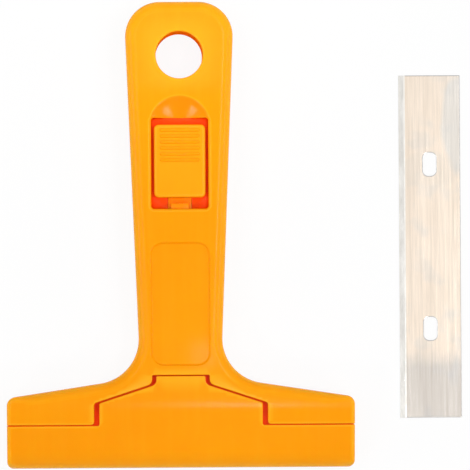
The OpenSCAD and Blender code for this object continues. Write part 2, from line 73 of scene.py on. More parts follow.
# Slope of the scoop in degrees at distances from its middle
SCOOP_SLOPES = {0.0: 0.0, 2.4: 17.0, 3.4: 22.0, 6.8: 25.0, SCOOP_R: 37.0, 11.0: 45.0}
PANEL_Y, PANEL_LOW_Y, PANEL_HALF, PANEL_R = -2.1, -38.1, 8.75, 3.8
PANEL_DEPTH, PANEL_WALL = 0.7, 0.75
TUNNEL_HALF, TUNNEL_LOW_Y = 3.8, 3.35

# Head cover, the opening that it lies in, its pocket, the lip under the handle and the lap under the seam
SEAM_Y, STEP_Y, FOOT_Y, TAB_Y = -55.2, -48.7, -43.3, -40.9
STEP_HALF, TAB_HALF = 23.6, 7.1
STEP_R, FOOT_R, TAB_R = 0.6, 1.8, 0.4
SEAM_GAP, STEP_GAP, SHOULDER_GAP, TAB_GAP, OPENING_R_SHARE = 0.3, 1.5, 0.5, 1.2, 1.5
COVER_Z, COVER_WALL, COVER_RIB_HALF = 7.55, 2.2, 0.8
COVER_RIB_SHARES = (-0.7, -0.3, 0.3, 0.7)
LIP_Z, LIP_TOP_Z, LIP_W, LIP_TAB_HALF, LIP_TAB_OVER = 11.1, 12.3, 1.6, 8.5, 0.3
LAP_Z, LAP_TOP_Z, LAP_EDGE, LAP_DOWN = 11.5, 13.2, 0.45, 1.8
LAP_SEAM, LAP_STEP, LAP_SHOULDER, LAP_TAB = 0.26, -0.05, 0.45, -0.05

# Inside of the back half: bed of the blade, pockets, cells, guides, saddles of the bar and detent rack
BED_Y, BED_Z, POCKET_TOP_Z = -48.8, 6.8, 9.0
SOLID_HEAD_Y, STEM_POCKET_LOW_Y, STEM_POCKET_Y = -45.5, -58.0, -44.5
SLIDE_FIT, POCKET_DOWN = 0.2, 3.2
CELL_X, CELL_HALF, CELL_LOW_Y, CELL_Y, CELL_Z = (34.85, 44.35), 3.55, -63.0, -51.4, 2.4
GUIDE_X, GUIDE_HALF = 4.4, 0.6
SADDLE_Y, SADDLE_HALF, SADDLE_L, SADDLE_TOP_Z, SADDLE_EDGE = (-26.2, 0.0, 31.0), 5.1, 2.0, 8.7, 0.2
RACK_HALF, RACK_LOW_Y, RACK_Y, RACK_Z = 2.0, 10.6, 18.0, 3.5
NOTCH_Y, NOTCH_HALF, NOTCH_DEPTH = (12.8, 15.8), 1.4, 0.6

# Slide button, drive bar and blade carrier
BUTTON_Y, BUTTON_LOW_Y, BUTTON_HALF, BUTTON_Z = 31.8, 10.7, 7.45, 14.6
BUTTON_R, BUTTON_LEAST_R, BUTTON_EDGE = 1.4, 0.3, 0.9
RAIL_HALF, RAIL_Z, RAIL_TOP_Z, KEEL_HALF = 8.93, 10.8, 12.3, 3.06
RAIL_BACK_Y, EAR_LOW_Y, EAR_X, KEEL_IN = 33.75, 6.4, 3.45, 0.2
RIB_COUNT, RIB_PITCH, RIB_HALF, RIB_RISE, RIB_FIRST_Y = 6, 1.73, 5.8, 0.4, 30.235
BAR_HALF, BAR_LOW_Y, BAR_Y, BAR_Z, BAR_TOP_Z = 3.4, -36.6, 36.4, 6.9, 9.4
TOOTH_HALF, TOOTH_LOW_Y, TOOTH_Y, TOOTH_TOP_Z = 2.65, 6.75, 9.05, 13.7
TONGUE_LOW_Y, TONGUE_Y, TONGUE_TOP_Z = 6.8, 10.68, 12.2
CARRIER_HALF, CARRIER_LOW_Y, CARRIER_Y, CARRIER_Z = 28.9, -61.45, -54.55, 4.3
STEM_HALF, STEM_Y, STEM_IN = 5.0, -28.6, 0.3
POST_HALF, POST_LOW_Y, POST_Y, POST_R, POST_IN = 3.25, -59.8, -56.2, 1.41, 0.3
STAKE_Y, STAKE_Z, STAKE_R, STAKE_HEAD_Z, STAKE_HEAD_R = 23.8, 5.7, 0.9, 6.3, 1.6
TOOTH_IN = 0.5
BAR_EDGE, TOOTH_EDGE, TONGUE_EDGE, RAIL_EDGE, RIM_EDGE = 0.25, 0.3, 0.2, 0.12, 0.1

# Razor blades
BLADE_HALF_L, BLADE_HALF_W, BLADE_T, GRIND_W, EDGE_T = 50.0, 9.0, 0.5, 1.7, 0.06
SLOT_AT, SLOT_HALF_L, SLOT_HALF_W, SLOT_R = 24.0, 3.4, 1.95, 1.56
# Width and depth of the broken edges, corner radius, and the half width of the painted highlight along the
# crest of the grind
BREAK_W, BREAK_D, BLADE_CORNER_R, CREST_HALF = 0.22, 0.07, 0.12, 0.2
FITTED_BLADE = (0.0, -58.0, 6.9)
LOOSE_BLADE = (73.2, -3.5, 0.0)

# Screws
CASE_SCREWS = [(10.2, 41.5), (-10.2, 41.5), (9.95, -38.0), (-9.95, -38.0)]
CASE_HEAD_R, CASE_HEAD_H, CASE_SEAT_Z, CASE_THREAD_R, CASE_TIP_Z = 2.1, 1.7, 2.3, 1.3, 11.6
CASE_SINK_R, SINK_RIM, BOSS_R = 2.3, 0.3, 2.75
DRIVE_HEAD_R, DRIVE_HEAD_H, DRIVE_THREAD_R, DRIVE_L = 2.0, 1.4, 1.1, 4.9
BUTTON_SCREW_Y, JOINT_SCREW_Y, BUTTON_HOLE_L = 28.5, -32.6, 3.0
THREAD_FIT, SHANK_FIT, TIP_FIT = 0.05, 0.2, 0.2


# Outlines in plan


FINE_TURN, TURN, COARSE_TURN = 4.0, 7.0, 15.0


def unit(v):
    """Direction of a vector."""
    return v / math.hypot(*v)


def left_of(v):
    """A vector turned a quarter to the left."""
    return np.array([-v[1], v[0]])


def cross(u, v):
    """Cross product in the plane."""
    return u[0] * v[1] - u[1] * v[0]


def turns(corners):
    """Each corner of a closed outline, with the directions of the sides that meet there."""
    for k, corner in enumerate(corners):
        yield corner, unit(corner - corners[k - 1]), unit(corners[(k + 1) % len(corners)] - corner)


def inset(corners, insets):
    """Corners after each side has moved inwards by its own inset."""
    moved = []
    for k, (corner, u, v) in enumerate(turns(corners)):
        a = corner + left_of(u) * insets[k - 1]
        b = corner + left_of(v) * insets[k]
        moved.append(a + u * cross(b - a, v) / cross(u, v))
    return np.array(moved)


def rounded(corners, radii, turn_step=TURN):
    """Closed outline with straight sides and an arc at each corner."""
    outline = []
    for r, (corner, u, v) in zip(radii, turns(np.asarray(corners, float))):
        turn = math.atan2(cross(u, v), u @ v)
        start = corner - u * r * math.tan(abs(turn) / 2)
        centre = start + left_of(u) * math.copysign(r, turn)
        arm = start - centre
        steps = max(2, math.ceil(abs(math.degrees(turn)) / turn_step))
        for j in range(steps + 1):
            a = turn * j / steps
            outline.append(centre + arm * math.cos(a) + left_of(arm) * math.sin(a))
    return np.array(outline)


def spaced(line, gap, closed=True):
    """The same line with its long stretches filled by points about a gap apart."""
    ends = np.roll(line, -1, axis=0) if closed else line[1:]
    filled = []
    for a, b in zip(line, ends):
        count = max(1, math.ceil(math.hypot(*(b - a)) / gap))
        filled.extend(a + (b - a) * i / count for i in range(count))
    if not closed:
        filled.append(line[-1])
    return np.array(filled)


def closed_line(outline, gap):
    """Outline filled with points, marked as closed."""
    return spaced(outline, gap), True


def plate(x, half, y0, y1, r, turn_step=TURN):
    """Rounded rectangle about x."""
    x0, x1 = x - half, x + half
    return rounded([(x1, y0), (x1, y1), (x0, y1), (x0, y0)], [r] * 4, turn_step)


def ring(x, y, r, count=64):
    """Points round a circle."""
    a = np.arange(count) * 2 * math.pi / count
    return np.column_stack([x + r * np.cos(a), y + r * np.sin(a)])


def t_corners():
    """Corners of the T: lower corner, wing corner, neck and hanging end, and the same on the left."""
    rise = math.tan(math.radians(WING_SLOPE))
    taper = (END_HALF - NECK_HALF) / (END_Y - NECK_Y)
    neck_x = (END_HALF - taper * (END_Y - WING_Y - rise * HEAD_HALF)) / (1 + taper * rise)
    neck_y = WING_Y + (HEAD_HALF - neck_x) * rise
    right = [(HEAD_HALF, NOSE_Y), (HEAD_HALF, WING_Y), (neck_x, neck_y), (END_HALF, END_Y)]
    return np.array(right + [(-x, y) for x, y in reversed(right)])


T_CORNERS = t_corners()
T_RADII = [NOSE_R, WING_R, NECK_R, END_R, END_R, NECK_R, WING_R, NOSE_R]


def t_outline(d=0.0, end_share=1.0, nose_share=1.0):
    """Outline of the T with its sides moved inwards by d, and by a share of it at the ends and the nose."""
    shares = np.array([end_share, 1, 1, 1, 1, 1, end_share, nose_share])
    radii = []
    for k, r in enumerate(T_RADII):
        radii.append(r + d if k in (2, 5) else max(r - d * min(shares[k - 1], shares[k]), SHARP_R))
    return rounded(inset(T_CORNERS, shares * d), radii, FINE_TURN)


def cover_outline(seam=0.0, step=0.0, shoulder=0.0, tab=0.0, r_share=1.0):
    """Outline of the head cover, grown by a gap at its seams, steps, shoulders and tab."""
    run = (FOOT_Y - STEP_Y) / (STEP_HALF - TAB_HALF)
    far = HEAD_HALF + OVERRUN
    right = [
        (far, NOSE_Y - OVERRUN),
        (far, SEAM_Y + seam),
        (STEP_HALF + step, SEAM_Y + seam),
        (STEP_HALF + step, STEP_Y + shoulder - step * run),
        (TAB_HALF + tab, FOOT_Y + shoulder - tab * run),
        (TAB_HALF + tab, TAB_Y + seam),
    ]
    radii = [SHARP_R, SHARP_R, STEP_R * r_share, STEP_R * r_share, FOOT_R, TAB_R]
    return rounded(right + [(-x, y) for x, y in reversed(right)], radii + radii[::-1], COARSE_TURN)


def opening_outline(d=0.0):
    """Outline of the opening in the handle that the cover lies in, grown by d."""
    return cover_outline(SEAM_GAP + d, STEP_GAP + d, SHOULDER_GAP + d, TAB_GAP + d, OPENING_R_SHARE)


def window_outline(d=0.0):
    """Outline of the button's window, grown by d."""
    return plate(0, WINDOW_HALF + d, WINDOW_LOW_Y - d, WINDOW_Y + d, WINDOW_R + d, COARSE_TURN)


def panel_outline(d=0.0):
    """Outline of the grip panel, moved inwards by d."""
    return plate(0, PANEL_HALF - d, PANEL_LOW_Y + d, PANEL_Y - d, PANEL_R - d)


def button_outline(d=0.0):
    """Outline of the slide button, moved inwards by d."""
    r = max(BUTTON_R - d, BUTTON_LEAST_R)
    return plate(0, BUTTON_HALF - d, BUTTON_LOW_Y + d, BUTTON_Y - d, r)


def slot_outline(side, d=0.0):
    """Outline of the blade's slot on one side, grown by d."""
    return plate(side * SLOT_AT, SLOT_HALF_L + d, -SLOT_HALF_W - d, SLOT_HALF_W + d, SLOT_R + d)


# Distances and soft edges


BATCH, NOTHING, HAIR = 4000, 1e-12, 1e-6


def sides(outline, pick=None):
    """Sides of a closed outline as starts and ends, all of them or those that pick takes."""
    a, b = outline, np.roll(outline, -1, axis=0)
    if pick is None:
        return a, b
    kept = pick(a, b)
    return a[kept], b[kept]


def distance(points, lines):
    """Distance of each point from the nearest of many straight sides."""
    a, b = lines
    near = np.empty(len(points))
    along = b - a
    length2 = np.maximum((along**2).sum(axis=1), NOTHING)
    for first in range(0, len(points), BATCH):
        p = points[first : first + BATCH, None, :]
        t = np.clip(((p - a) * along).sum(axis=2) / length2, 0, 1)
        gap = p - a - t[:, :, None] * along
        near[first : first + BATCH] = np.sqrt((gap**2).sum(axis=2).min(axis=1))
    return near


def inside(points, outline):
    """True for each point within a closed outline."""
    a, b = sides(outline)
    within = np.empty(len(points), bool)
    drop = np.where(b[:, 1] == a[:, 1], NOTHING, b[:, 1] - a[:, 1])
    for first in range(0, len(points), BATCH):
        x, y = points[first : first + BATCH, :, None].transpose(1, 0, 2)
        spans = (a[:, 1] > y) != (b[:, 1] > y)
        crosses = spans & (x < a[:, 0] + (y - a[:, 1]) * (b[:, 0] - a[:, 0]) / drop)
        within[first : first + BATCH] = crosses.sum(axis=1) % 2 == 1
    return within


def away(points, x, y):
    """Distance of each point from a place."""
    return np.hypot(points[:, 0] - x, points[:, 1] - y)


def quarter_round(d, r):
    """Fall of a quarter circle at distance d from its foot, as a share of its radius."""
    s = np.clip(1 - d / r, 0, 1)
    return 1 - np.sqrt(1 - s * s)


def edge_drop(d, r):
    """How far a round edge has fallen at distance d from it."""
    return r * quarter_round(d, r)


def border_drop(d, r):
    """Fall of the face's border: a faint crease where it leaves the level face, then a round edge."""
    width = r * BORDER_W / EDGE_R
    lean = np.clip(1 - d / width, 0, 1)
    return r * (BORDER_LEAN * lean + (1 - BORDER_LEAN) * quarter_round(d, width))


def soft_min(a, b, blend):
    """The lower of two heights, with the crease between them eased."""
    ease = np.maximum(0, 1 - np.abs(a - b) / blend)
    return np.minimum(a, b) - blend / 4 * ease**2


def ease(t):
    """Share from 0 to 1 with a soft start and a soft end."""
    t = np.clip(t, 0, 1)
    return t * t * (3 - 2 * t)


# Heights of the outer faces

T_LINE = t_outline()
OPENING, COVER = opening_outline(), cover_outline()
WINDOW, PANEL = window_outline(), panel_outline()


def below(y, a, b):
    """Sides that lie below a level line."""
    return (a[:, 1] < y + HAIR) & (b[:, 1] < y + HAIR)


def on_head_end(a, b):
    """Sides of the T at the ends of the head and round its lower corners."""
    ends = (np.abs(a[:, 0]) > HEAD_HALF - HAIR) & (np.abs(b[:, 0]) > HEAD_HALF - HAIR)
    return (ends | below(NOSE_Y + NOSE_R, a, b)) & ~below(NOSE_Y, a, b)


def on_long_edge(a, b):
    """Sides of the T along the wings and the handle."""
    return ~on_head_end(a, b) & ~below(NOSE_Y, a, b)


def on_seam(a, b):
    """Sides of the cover or its opening along the seam."""
    return (a[:, 1] > SEAM_Y - OVERLAP) & (b[:, 1] > SEAM_Y - OVERLAP)


HEAD_ENDS, LONG_EDGES = sides(T_LINE, on_head_end), sides(T_LINE, on_long_edge)
OPENING_EDGE, COVER_EDGE = sides(OPENING, on_seam), sides(COVER, on_seam)
WINDOW_EDGE, PANEL_EDGE, BUTTON_RIM = sides(WINDOW), sides(PANEL), sides(button_outline())
BEVEL_REACH, SCOOP_REACH, SCOOP_PARTS, OUT_OF_REACH = 3.0, 2.0, 441, 99.0


def long_edge_r(p):
    """Radius of the long edges, less towards the ends of the head."""
    return EDGE_R + (HEAD_EDGE_R - EDGE_R) * ease((np.abs(p[:, 0]) - HEAD_HALF + END_FADE) / END_FADE)


def end_drop(p, face):
    """Rounding at the ends of the head, less of it where the nose is thin."""
    most = NOSE_END_SHARE * (face - PARTING_Z - NOSE_END_LEFT)
    return np.minimum(edge_drop(distance(p, HEAD_ENDS), HEAD_EDGE_R), most)


def hole_drop(p):
    """Rounding at the rim of the hanging hole."""
    return edge_drop(np.maximum(away(p, 0, HOLE_Y) - HOLE_R, 0), HOLE_RIM)


def crown(p):
    """Outer face of handle and head: level, a soft ridge, a sloping head, a round nose and round edges."""
    slope = math.tan(math.radians(FACE_SLOPE))
    past_ridge = (RIDGE_Y - p[:, 1]) / RIDGE_SOFT
    face = FACE_Z - slope * RIDGE_SOFT * np.logaddexp(0, past_ridge)
    nose_drop = FACE_Z - slope * (RIDGE_Y - NOSE_Y) - NOSE_FRONT_Z
    face = face - nose_drop * quarter_round(p[:, 1] - NOSE_Y, NOSE_L)
    face = face - end_drop(p, face)
    return soft_min(FACE_Z - border_drop(distance(p, LONG_EDGES), long_edge_r(p)), face, FACE_BLEND)


def scoop_rise(r):
    """Thumb scoop: level in the middle, an even slope on its sides and a steeper rim, which is at 0."""
    steps = np.linspace(0, max(SCOOP_SLOPES), SCOOP_PARTS)
    slope = np.tan(np.radians(np.interp(steps, list(SCOOP_SLOPES), list(SCOOP_SLOPES.values()))))
    rise = np.concatenate([[0], np.cumsum((slope[1:] + slope[:-1]) / 2 * steps[1])])
    return np.interp(r, steps, rise - np.interp(SCOOP_R, steps, rise))


def front_height(p):
    """Face of the handle, with the window's bevel, the rim of the hole, the sunk panel and the scoop."""
    z = crown(p) - edge_drop(distance(p, OPENING_EDGE), SEAM_R)
    d = distance(p, WINDOW_EDGE)
    z = soft_min(z, np.where(d < BEVEL_REACH, FACE_Z - WINDOW_BEVEL + d, OUT_OF_REACH), WINDOW_BLEND)
    z = z - hole_drop(p)
    deep = np.where(inside(p, PANEL), distance(p, PANEL_EDGE), 0.0)
    z = z - PANEL_DEPTH * ease(deep / PANEL_WALL)
    r = away(p, 0, SCOOP_Y)
    near = (p[:, 1] > SCOOP_Y - SCOOP_REACH) & (r < SCOOP_R + SCOOP_REACH)
    return np.where(near, soft_min(z, FACE_Z + scoop_rise(r), SCOOP_BLEND), z)


def cover_height(p):
    """Face of the cover, rounded along the seam."""
    return crown(p) - edge_drop(distance(p, COVER_EDGE), SEAM_R)


def back_height(p):
    """Back of handle and head, measured down from the face side so that it grows towards the back."""
    heel = FACE_Z - NOSE_BACK_Z * quarter_round(p[:, 1] - NOSE_Y, HEEL_L)
    heel = heel - end_drop(p, heel)
    z = soft_min(FACE_Z - edge_drop(distance(p, LONG_EDGES), long_edge_r(p)), heel, FACE_BLEND)
    z = z - hole_drop(p)
    for x, y in CASE_SCREWS:
        z = z - edge_drop(np.maximum(away(p, x, y) - CASE_SINK_R, 0), SINK_RIM)
    return z


def button_height(p):
    """Level top of the button with a round edge."""
    return BUTTON_Z - edge_drop(distance(p, BUTTON_RIM), BUTTON_EDGE)


# Meshes


WELD, NO_AREA = 1e-4, 1e-9
STEP_AWAY, FOOT_SPACE, FLOOR_EDGE = 0.1, 1.1, 0.15


def piece_from(name, points, faces):
    """A new object from points in millimetres."""
    mesh = bpy.data.meshes.new(name)
    mesh.from_pydata([tuple(p) for p in np.asarray(points, float) * MM], [], [list(f) for f in faces])
    mesh.update()
    piece = bpy.data.objects.new(name, mesh)
    bpy.context.scene.collection.objects.link(piece)
    return piece


def surface(lines, keep):
    """Triangles of the plan area along closed and open lines, where their middles pass keep."""
    points, edges = [], []
    for line, closed in lines:
        first, count = len(points), len(line)
        points.extend(Vector(p) for p in line)
        edges.extend((first + i, first + (i + 1) % count) for i in range(count if closed else count - 1))
    made = delaunay_2d_cdt(points, edges, [], 0, WELD)
    spots = np.array([v[:] for v in made[0]])
    faces = np.array([f[:3] for f in made[2]])
    faces = faces[keep(spots[faces].mean(axis=1))]
    a, b, c = (spots[faces[:, i]] for i in range(3))
    area = (b[:, 0] - a[:, 0]) * (c[:, 1] - a[:, 1]) - (b[:, 1] - a[:, 1]) * (c[:, 0] - a[:, 0])
    faces[area < 0] = faces[area < 0][:, ::-1]
    faces = faces[np.abs(area) > NO_AREA]
    used = np.unique(faces)
    order = np.full(len(spots), -1)
    order[used] = np.arange(len(used))
    return spots[used], order[faces]


def rims(faces):
    """Loops of points round the edge of a triangulated area, with the area on the left."""
    steps = {(int(f[i]), int(f[(i + 1) % 3])) for f in faces for i in range(3)}
    onward = {a: b for a, b in steps if (b, a) not in steps}
    loops = []
    while onward:
        first, point = onward.popitem()
        loop = [first]
        while point != first:
            loop.append(point)
            point = onward.pop(point)
        loops.append(loop)
    return loops


def stepped_in(line, d):
    """Inner copy of a closed line, moved inwards by d, and the number of each point of the line on the copy.

    Points closer together than d share one on the copy, and corners come first.
    """
    count = len(line)

    def onward(k, way):
        i = (k + way) % count
        while math.hypot(*(line[i] - line[k])) < STEP_AWAY:
            i = (i + way) % count
        return unit(line[i] - line[k])

    straight = [-(onward(k, -1) @ onward(k, 1)) for k in range(count)]
    kept = np.zeros(count, bool)
    for k in np.argsort(straight, kind="stable"):
        kept[k] = not kept.any() or np.hypot(*(line[kept] - line[k]).T).min() > FOOT_SPACE * d
    rest = line[kept]
    u, v = rest - np.roll(rest, 1, axis=0), np.roll(rest, -1, axis=0) - rest
    u /= np.hypot(u[:, 0], u[:, 1])[:, None]
    v /= np.hypot(v[:, 0], v[:, 1])[:, None]
    inward = np.column_stack([-u[:, 1] - v[:, 1], u[:, 0] + v[:, 0]])
    inward /= np.maximum((inward**2).sum(axis=1) / 2, 0.5)[:, None]
    return rest + inward * d, (np.cumsum(kept) - 1) % len(rest)


def moulding(name, lines, keep, height, floor, edge=FLOOR_EDGE, flipped=False):
    """Solid between an outer face of given height and a level floor, whose edge is slightly broken."""
    spots, faces = surface(lines, keep)
    points = [np.column_stack([spots, height(spots)])]
    solid = [tuple(f) for f in faces]
    total = len(spots)
    floor_lines, floor_ids = [], []
    for loop in rims(faces):
        at, count = spots[loop], len(loop)
        low, feet = stepped_in(at, edge)
        side, foot = total, total + count
        total = foot + len(low)
        points.append(np.column_stack([at, np.full(count, floor + edge)]))
        points.append(np.column_stack([low, np.full(len(low), floor)]))
        for i in range(count):
            j = (i + 1) % count
            solid.append((side + i, side + j, loop[j], loop[i]))
            rim = (foot + feet[i], foot + feet[j], side + j, side + i)
            solid.append(rim if feet[i] != feet[j] else rim[1:])
        floor_lines.append((low, True))
        floor_ids.extend(range(foot, total))

    def on_floor(m):
        return np.sum([inside(m, line) for line, _ in floor_lines], axis=0) % 2 == 1

    flat, under = surface(floor_lines, on_floor)
    feet_at = np.concatenate([line for line, _ in floor_lines])
    ids = [floor_ids[((feet_at - p) ** 2).sum(axis=1).argmin()] for p in flat]
    solid.extend((ids[c], ids[b], ids[a]) for a, b, c in under)
    points = np.concatenate(points)
    if flipped:
        points[:, 2] = FACE_Z - points[:, 2]
        solid = [f[::-1] for f in solid]
    return piece_from(name, points, solid)


def block(x, half, y0, y1, z0, z1, edge=0.0):
    """Box about x, with its edges broken if an edge is given."""
    x0, x1 = x - half, x + half
    piece = prism([(x1, y0), (x1, y1), (x0, y1), (x0, y0)], z0, z1)
    if edge:
        bm = bmesh.new()
        bm.from_mesh(piece.data)
        bmesh.ops.bevel(bm, geom=bm.edges[:], offset=edge * MM, segments=2, profile=0.5, affect="EDGES")
        bm.to_mesh(piece.data)
        bm.free()
    return piece


def swept(low, high):
    """Solid between two copies of an outline."""
    count = len(low)
    faces = [tuple(range(count))[::-1], tuple(range(count, 2 * count))]
    faces += [(i, (i + 1) % count, count + (i + 1) % count, count + i) for i in range(count)]
    return piece_from("solid", [*low, *high], faces)


def prism(outline, z0, z1):
    """Upright solid over an outline."""
    return swept([(x, y, z0) for x, y in outline], [(x, y, z1) for x, y in outline])


def prism_along_x(half, outline):
    """Solid over an outline in Y and Z, lying along X."""
    return swept([(-half, y, z) for y, z in outline], [(half, y, z) for y, z in outline])


def drum(x, y, z0, z1, r, count=48):
    """Upright cylinder."""
    return prism(ring(x, y, r, count), z0, z1)


def settle(piece):
    """Gives a piece the mesh that its modifier makes, in place of its old one."""
    made = piece.evaluated_get(bpy.context.evaluated_depsgraph_get())
    old, mesh = piece.data, bpy.data.meshes.new_from_object(made)
    piece.modifiers.clear()
    piece.data = mesh
    bpy.data.meshes.remove(old)


def carve(piece, tool, how="DIFFERENCE"):
    """Cuts a tool out of a piece, joins it on or keeps what they share, and uses the tool up."""
    bpy.context.view_layer.update()
    step = piece.modifiers.new("carve", "BOOLEAN")
    step.operation, step.solver, step.object = how, "MANIFOLD", tool
    settle(piece)
    spent = tool.data
    bpy.data.objects.remove(tool)
    bpy.data.meshes.remove(spent)
    return piece


def join_on(piece, tool):
    """Joins a tool on a piece and uses the tool up."""
    carve(piece, tool, "UNION")


SMOOTH_ANGLE, FACE_LOW_Z, FACE_TOL, RIM_W, FACING = 32.0, 7.8, 0.004, 0.4, 0.01
# The last two numbers set where the face counts as bent and how strong its painted highlight is
SLOPE_STEP, NUDGE, BEND_STEP, SHEEN_GAIN = 0.01, 0.02, 0.2, 6


def slope_of(height, p):
    """Slopes of a height along X and along Y."""
    h = SLOPE_STEP
    dx, dy = np.array([h, 0.0]), np.array([0.0, h])
    return (height(p + dx) - height(p - dx)) / (2 * h), (height(p + dy) - height(p - dy)) / (2 * h)


def shade(piece, height=None, flipped=False, sharp=SMOOTH_ANGLE):
    """Smooth shading, with a painted edge highlight value and a painted shade value on each point."""
    mesh = piece.data
    mesh.polygons.foreach_set("use_smooth", [True] * len(mesh.polygons))
    mesh.set_sharp_from_angle(angle=math.radians(sharp))
    edge_sheen, deep = np.zeros(len(mesh.vertices)), np.zeros(len(mesh.vertices))
    if height is not None:
        shade_face(mesh, height, flipped, edge_sheen, deep)
    for name, values in (("edge_sheen", edge_sheen), ("deep", deep)):
        layer = mesh.attributes.new(name, "FLOAT", "POINT")
        layer.data.foreach_set("value", values.astype(np.float32))


def shade_face(mesh, height, flipped, edge_sheen, deep):
    """Normals and painted edge highlight of an outer face of known height, and painted shade for what lies
    behind it.
    """
    at = np.empty(len(mesh.vertices) * 3)
    mesh.vertices.foreach_get("co", at)
    at = at.reshape(-1, 3) / MM
    rise = FACE_Z - at[:, 2] if flipped else at[:, 2]
    plan = at[:, :2]
    on_face = np.zeros(len(at), bool)
    near = rise > FACE_LOW_Z
    on_face[near] = np.abs(rise[near] - height(plan[near])) < FACE_TOL
    from_hole = np.abs(away(plan, 0, HOLE_Y) - HOLE_R)
    # Points below the face, away from the outline and the hole, get the full painted red shade of gaps and
    # recesses
    deep[~on_face & (np.minimum(distance(plan, sides(T_LINE)), from_hole) > RIM_W)] = 1

    # Faces that belong to the outer face, by their corners and the way they point
    corner = np.empty(len(mesh.loops), int)
    mesh.loops.foreach_get("vertex_index", corner)
    owner = np.repeat(np.arange(len(mesh.polygons)), [len(f.vertices) for f in mesh.polygons])
    whole = np.ones(len(mesh.polygons), bool)
    np.logical_and.at(whole, owner, on_face[corner])
    whole &= np.array([f.normal.z for f in mesh.polygons]) * (-1 if flipped else 1) > FACING
    outer = whole[owner]

    # Normals from the height, a little inside the face where another face meets it
    middles = np.array([f.center[:2] for f in mesh.polygons]) / MM
    aim, count, rest = np.zeros((len(at), 2)), np.zeros(len(at)), np.zeros(len(at), bool)
    np.add.at(aim, corner[outer], middles[owner[outer]])
    np.add.at(count, corner[outer], 1)
    rest[corner[~outer]] = True
    used = np.flatnonzero(count > 0)
    spot = plan[used].copy()
    to = aim[used] / count[used, None] - spot
    to /= np.maximum(np.hypot(to[:, 0], to[:, 1]), NO_AREA)[:, None]
    spot += np.where(rest[used, None], to * NUDGE, 0)
    gx, gy = slope_of(height, spot)
    n = np.column_stack([-gx, -gy, np.full(len(gx), 1.0)])
    n /= np.linalg.norm(n, axis=1)[:, None]
    if flipped:
        n[:, 2] *= -1
    normals = np.zeros((len(at), 3))
    normals[used] = n
    mesh.normals_split_custom_set([tuple(normals[v]) if o else (0, 0, 0) for v, o in zip(corner, outer)])

    # Painted highlight where the face bends away
    bent = np.zeros(len(used))
    for step in ((BEND_STEP, 0.0), (0.0, BEND_STEP)):
        bent += 2 * height(spot) - height(spot + step) - height(spot - np.array(step))
    edge_sheen[used] = np.clip(bent * SHEEN_GAIN, 0, 1)


# Node trees and materials


def add(tree, kind, sockets=(), **settings):
    """A node with its settings, and with sockets linked or set by name or number."""
    node = tree.nodes.new(kind)
    for name, value in settings.items():
        setattr(node, name, value)
    for socket, given in sockets:
        if isinstance(given, bpy.types.NodeSocket):
            tree.links.new(given, node.inputs[socket])
        else:
            node.inputs[socket].default_value = given
    return node


def maths(tree, how, a, b):
    """A calculation with two numbers or values."""
    return add(tree, "ShaderNodeMath", [(0, a), (1, b)], operation=how).outputs[0]


def times(tree, a, b):
    """A product of two numbers or values."""
    return maths(tree, "MULTIPLY", a, b)


def emptied(owner):
    """Node tree of a material or a world, with nothing in it."""
    owner.use_nodes = True
    owner.node_tree.nodes.clear()
    return owner.node_tree


def pattern(tree, scale, stretch=(1, 1, 1), detail=2.0, rough=0.5):
    """Noise on the piece's own coordinates, as a value."""
    place = add(tree, "ShaderNodeTexCoord").outputs["Object"]
    turn = add(tree, "ShaderNodeMapping", [("Vector", place), ("Scale", stretch)]).outputs[0]
    sockets = [("Vector", turn), ("Scale", scale), ("Detail", detail), ("Roughness", rough)]
    return add(tree, "ShaderNodeTexNoise", sockets).outputs["Fac"]


def shades(tree, value, *stops):
    """Colours along a value."""
    ramp = add(tree, "ShaderNodeValToRGB", [("Fac", value)])
    for stop, (at, colour) in zip(ramp.color_ramp.elements, stops):
        stop.position, stop.color = at, (*colour, 1)
    return ramp.outputs["Color"]


def ranged(tree, value, low, high, to_low, to_high):
    """A value moved from one range to another."""
    names = ("Value", "From Min", "From Max", "To Min", "To Max")
    sockets = zip(names, (value, low, high, to_low, to_high))
    return add(tree, "ShaderNodeMapRange", sockets).outputs["Result"]


def blended(tree, share, colour, other, how="MIX"):
    """A colour mixed with another by a share."""
    sockets = [(0, share), (6, colour), (7, (*other, 1))]
    return add(tree, "ShaderNodeMix", sockets, data_type="RGBA", blend_type=how).outputs[2]


def relief(tree, value, strength, depth):
    """Normals of a fine relief from a value."""
    sockets = [("Height", value), ("Strength", strength), ("Distance", depth * MM)]
    return add(tree, "ShaderNodeBump", sockets).outputs["Normal"]


def own_value(tree, name):
    """A value that the piece carries on its points."""
    return add(tree, "ShaderNodeAttribute", attribute_name=name).outputs["Fac"]


def coat(tree, sockets):
    """Principled surface of a material."""
    skin = add(tree, "ShaderNodeBsdfPrincipled", sockets)
    add(tree, "ShaderNodeOutputMaterial", [("Surface", skin.outputs["BSDF"])])


# Pale tone of flow streaks and of the painted edge highlight, red of the painted shade in gaps and recesses,
# and the share of that shade painted in the thumb scoop
PALE_ORANGE, PAINTED_GAP_SHADE, SCOOP_SHADE = (1.0, 0.5, 0.02), (0.93, 0.075, 0.0008), 0.24
# Scale or stretch of the patterns on plastic and on steel
CLOUDS, FLOW, SCUFFS, GRAIN, STEEL_CLOUDS, PATCH_BORDER = 42, (420, 26, 200), (900, 160, 500), 1500, 30, 120


